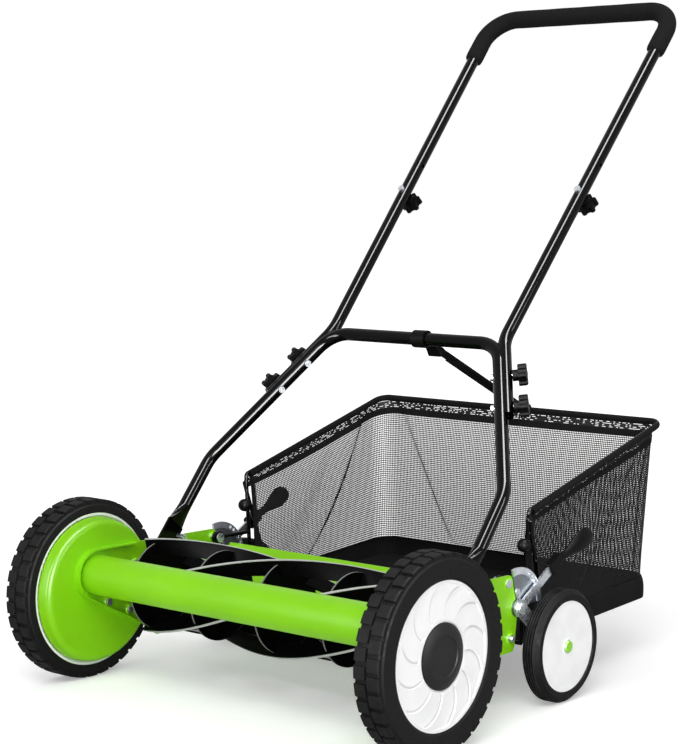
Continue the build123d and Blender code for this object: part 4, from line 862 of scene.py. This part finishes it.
class MOWER_OT_bag_netting(Operator):
    """Weaves the walls of the bag and the denser hem under its rim"""
    bl_idname = "mower.bag_netting"
    bl_label = "Bag netting"

    def execute(self, context):
        bag = settings().bag
        thread = Finish("net_thread", settings().finish.thread, 0.55)
        thread.mottle(40.0, 0.8, 1.3)
        thread.bump(thread.noise(2500.0, 2.0), 0.2, 0.0003)
        thread.set(Specular_IOR_Level=0.06)
        walls = (("net_left", NET_START, PLAN_TURN, NET_SIDE_HEIGHT),
                 ("net_back", PLAN_TURN, 1 - PLAN_TURN, NET_BACK_HEIGHT),
                 ("net_right", 1 - PLAN_TURN, 1 - NET_START, NET_SIDE_HEIGHT))
        for name, start, end, high in walls:
            wall = wall_part((start, end), (0.0, NET_TOP), bag.sag)
            size = ((end - start) * PLAN_LENGTH, high)
            points, faces = netting(wall, size, bag.pitch, (bag.warp_width, bag.weft_width), bag.thread_depth)
            net = new_piece(name, points, faces, thread.material, "catcher", smooth=False)
            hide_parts("catcher_mesh")

        hem = wall_part((0.0, 1.0), HEM, bag.sag)
        size = (PLAN_LENGTH, HEM_HEIGHT)
        points, faces = torn_strip(hem, *HEM_CELLS, HEM_OPEN, 0.8 * bag.thread_depth)
        strip = new_piece("hem_net", points, faces, thread.material, "catcher", smooth=False)
        return {"FINISHED"}


class MOWER_OT_bag_bindings(Operator):
    """Sews the rim sleeve, the lower band and the front edges of the bag"""
    bl_idname = "mower.bag_bindings"
    bl_label = "Bag bindings"

    def execute(self, context):
        cloth = woven_cloth("binding_cloth", settings().finish.binding, 260.0)
        rim_z = BAG_TOP[0] + RIM_RISE, BAG_TOP[1] + RIM_RISE
        front = np.array([bag_half(rim_z[0]) - BAG_WALL / 2, BAG_FRONT + 0.004, rim_z[0] - 0.001])
        rear = BAG_BACK + BAG_LEAN - BAG_WALL / 2
        back = np.array([bag_half(rim_z[1]) - BAG_WALL / 2, rear, rim_z[1] - 0.002])
        path = rounded_path([front, back, back * MIRROR, front * MIRROR], (0.018, 0.018))
        points, faces, uv = tube_surface(path, 0.0042, (0, -0.26, 0.965), 16, 1.2)
        sleeve = new_piece("rim_sleeve", points, faces, cloth, "catcher", uv)
        sag = settings().bag.sag
        round_walls = np.linspace(0, 1, 240)
        band = np.meshgrid(round_walls, np.linspace(*BAND, 4), indexing="ij")
        self.strip("rim_band", cloth, bag_wall(*band, sag), band[0], 0.0018, (0.0105, PLAN_LENGTH))
        skirt = np.meshgrid(round_walls, np.linspace(0, 1, 12), indexing="ij")
        self.strip("bag_skirt", cloth, bag_skirt(*skirt), skirt[0], 0.0014, (0.027, PLAN_LENGTH))
        start = np.linspace(NET_START * 0.6, NET_START * 1.25, 4)
        for name, length in (("front_edge_left", start), ("front_edge_right", 1 - start[::-1])):
            edge = np.meshgrid(length, np.linspace(0.0, 0.97, 30), indexing="ij")
            self.strip(name, cloth, bag_wall(*edge, sag), edge[0], 0.0022, (0.152, 0.010))
        return {"FINISHED"}

    @staticmethod
    def strip(name, cloth, centre, length, thick, size):
        """A strip of cloth on the walls, made thick to both sides; its size is tall, then long."""
        outward = -plan(length)[2]
        points, faces = closed_band(centre + outward * thick / 2, centre - outward * thick / 2)
        long, tall = centre.shape[:2]
        flat = np.stack(np.meshgrid(np.linspace(0, size[0], tall), np.linspace(0, size[1], long)), -1)
        uv = np.concatenate([flat.reshape(-1, 2)] * 2)
        piece = new_piece(name, points, faces, cloth, "catcher", uv, smooth=False)


class MOWER_OT_bag_floor(Operator):
    """Makes the sagging cloth floor of the bag"""
    bl_idname = "mower.bag_floor"
    bl_label = "Bag floor"

    def execute(self, context):
        sag = settings().bag.floor_sag
        cloth = woven_cloth("floor_cloth", settings().finish.binding, 420.0, 0.25)
        across = np.sin(np.linspace(-0.5, 0.5, 90) * np.pi)
        deep = np.sin(np.linspace(0, 0.5, 70) * np.pi)
        deep, across = np.meshgrid(deep, across, indexing="ij")
        end = BAG_BACK + BAG_BULGE
        y = BAG_FRONT - 0.002 + deep * (end - BAG_FRONT + 0.002)
        low = bag_line(BAG_BASE, y)
        corner = np.clip((y - end + PLAN_CORNER) / PLAN_CORNER, 0, 1)
        half = bag_half(low) + 0.6 * BAG_BULGE * np.clip(4 * deep, 0, 1)
        x = across * (half - PLAN_CORNER * (1 - np.sqrt(1 - corner ** 2)))
        bowl = (1 - across ** 2) * np.sin(np.pi * deep)
        wave = np.sin(23 * across + 5 * deep) * np.sin(11 * deep + 2 * across)
        ripple = 0.0016 * wave * np.sqrt(np.abs(bowl))
        z = low + 0.0006 - sag * bowl + ripple
        centre = np.stack([x, y, z], -1)
        along, over = np.gradient(centre, axis=0), np.gradient(centre, axis=1)
        up = unit(np.cross(over, along))
        points, faces = closed_band(centre + up * 0.0007, centre - up * 0.0007)
        flat = np.stack([x, y], -1)
        uv = np.concatenate([flat.reshape(-1, 2)] * 2)
        floor = new_piece("bag_floor", points, faces, cloth, "catcher", uv)
        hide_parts("catcher_floor")
        return {"FINISHED"}


class MOWER_OT_strap(Operator):
    """Makes the webbing strap from the clip to the rim"""
    bl_idname = "mower.strap"
    bl_label = "Strap"

    def execute(self, context):
        webbing = woven_cloth("strap_webbing", settings().finish.binding, 600.0, 0.6)
        rim = np.array([CROSSBAR[0], BAG_BACK + BAG_LEAN - BAG_WALL / 2, BAG_TOP[1] + RIM_RISE])
        ahead = unit(rim - CROSSBAR)
        up = np.cross((1.0, 0.0, 0.0), ahead)
        run = np.linalg.norm(rim - CROSSBAR)
        radius = LOOP_RADIUS
        straight = np.linspace(STRAP_START, run - STRAP_PINCH, 40)
        pinch = np.linspace(run - STRAP_PINCH, run - radius, 10)
        spread = radius * 0.55 * (1 - np.cos(np.pi * (pinch - pinch[0]) / (pinch[-1] - pinch[0]))) / 2
        turn = np.linspace(0.75 * np.pi, -0.75 * np.pi, 24)
        loop = np.stack([run + radius * np.cos(turn), radius * np.sin(turn)], -1)
        apart = np.r_[straight * 0, spread[1:-1]] + 0.0009
        upper = np.stack([np.r_[straight, pinch[1:-1]], apart], -1)
        back = upper[:8:-1] * (1, -1)
        line = np.concatenate([upper, loop, back])
        path = CROSSBAR + line[:, :1] * ahead + line[:, 1:] * up
        forward = unit(np.gradient(path, axis=0))
        normal = np.cross(forward, (1.0, 0.0, 0.0))
        wide = np.linspace(-STRAP_HALF, STRAP_HALF, 7)
        centre = path[:, None] + np.array([1.0, 0, 0]) * wide[None, :, None]
        outward = np.broadcast_to(normal[:, None], centre.shape)
        half = outward * STRAP_THICK / 2
        points, faces = closed_band(centre + half, centre - half)
        far = np.r_[0, np.cumsum(np.linalg.norm(np.diff(path, axis=0), axis=1))]
        flat = np.stack(np.meshgrid(wide, far), -1)
        uv = np.concatenate([flat.reshape(-1, 2)] * 2)
        strap = new_piece("strap_webbing", points, faces, webbing, "strap", uv)
        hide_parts("strap_web")
        return {"FINISHED"}


class MOWER_PT_panel(Panel):
    """Lists the steps of dressing the mower"""
    bl_idname = "MOWER_PT_panel"
    bl_label = "Reel Mower"
    bl_space_type = "VIEW_3D"
    bl_region_type = "UI"
    bl_category = "Mower"

    def draw(self, context):
        for operator in OPERATORS:
            self.layout.operator(operator.bl_idname)
        for name in ("finish", "bag", "stage"):
            group = getattr(context.scene.mower, name)
            box = self.layout.box()
            for prop in group.__annotations__:
                box.prop(group, prop)


OPERATORS = (
    MOWER_OT_stage,
    MOWER_OT_green_chassis,
    MOWER_OT_handle,
    MOWER_OT_reel,
    MOWER_OT_plated_fittings,
    MOWER_OT_drive_wheels,
    MOWER_OT_rear_wheels,
    MOWER_OT_black_fittings,
    MOWER_OT_foam_grip,
    MOWER_OT_bag_netting,
    MOWER_OT_bag_bindings,
    MOWER_OT_bag_floor,
    MOWER_OT_strap,
)
CLASSES = (FinishSettings, BagSettings, StageSettings, MowerSettings, *OPERATORS, MOWER_PT_panel)


def register():
    """Registers the classes and the settings."""
    for item in CLASSES:
        bpy.utils.register_class(item)
    bpy.types.Scene.mower = PointerProperty(type=MowerSettings)


def unregister():
    """Removes the settings and the classes."""
    del bpy.types.Scene.mower
    for item in reversed(CLASSES):
        bpy.utils.unregister_class(item)


def main():
    """Dresses the mower step by step."""
    register()
    for operator in OPERATORS:
        space, name = operator.bl_idname.split(".")
        getattr(getattr(bpy.ops, space), name)()


if __name__ == "__main__":
    main()
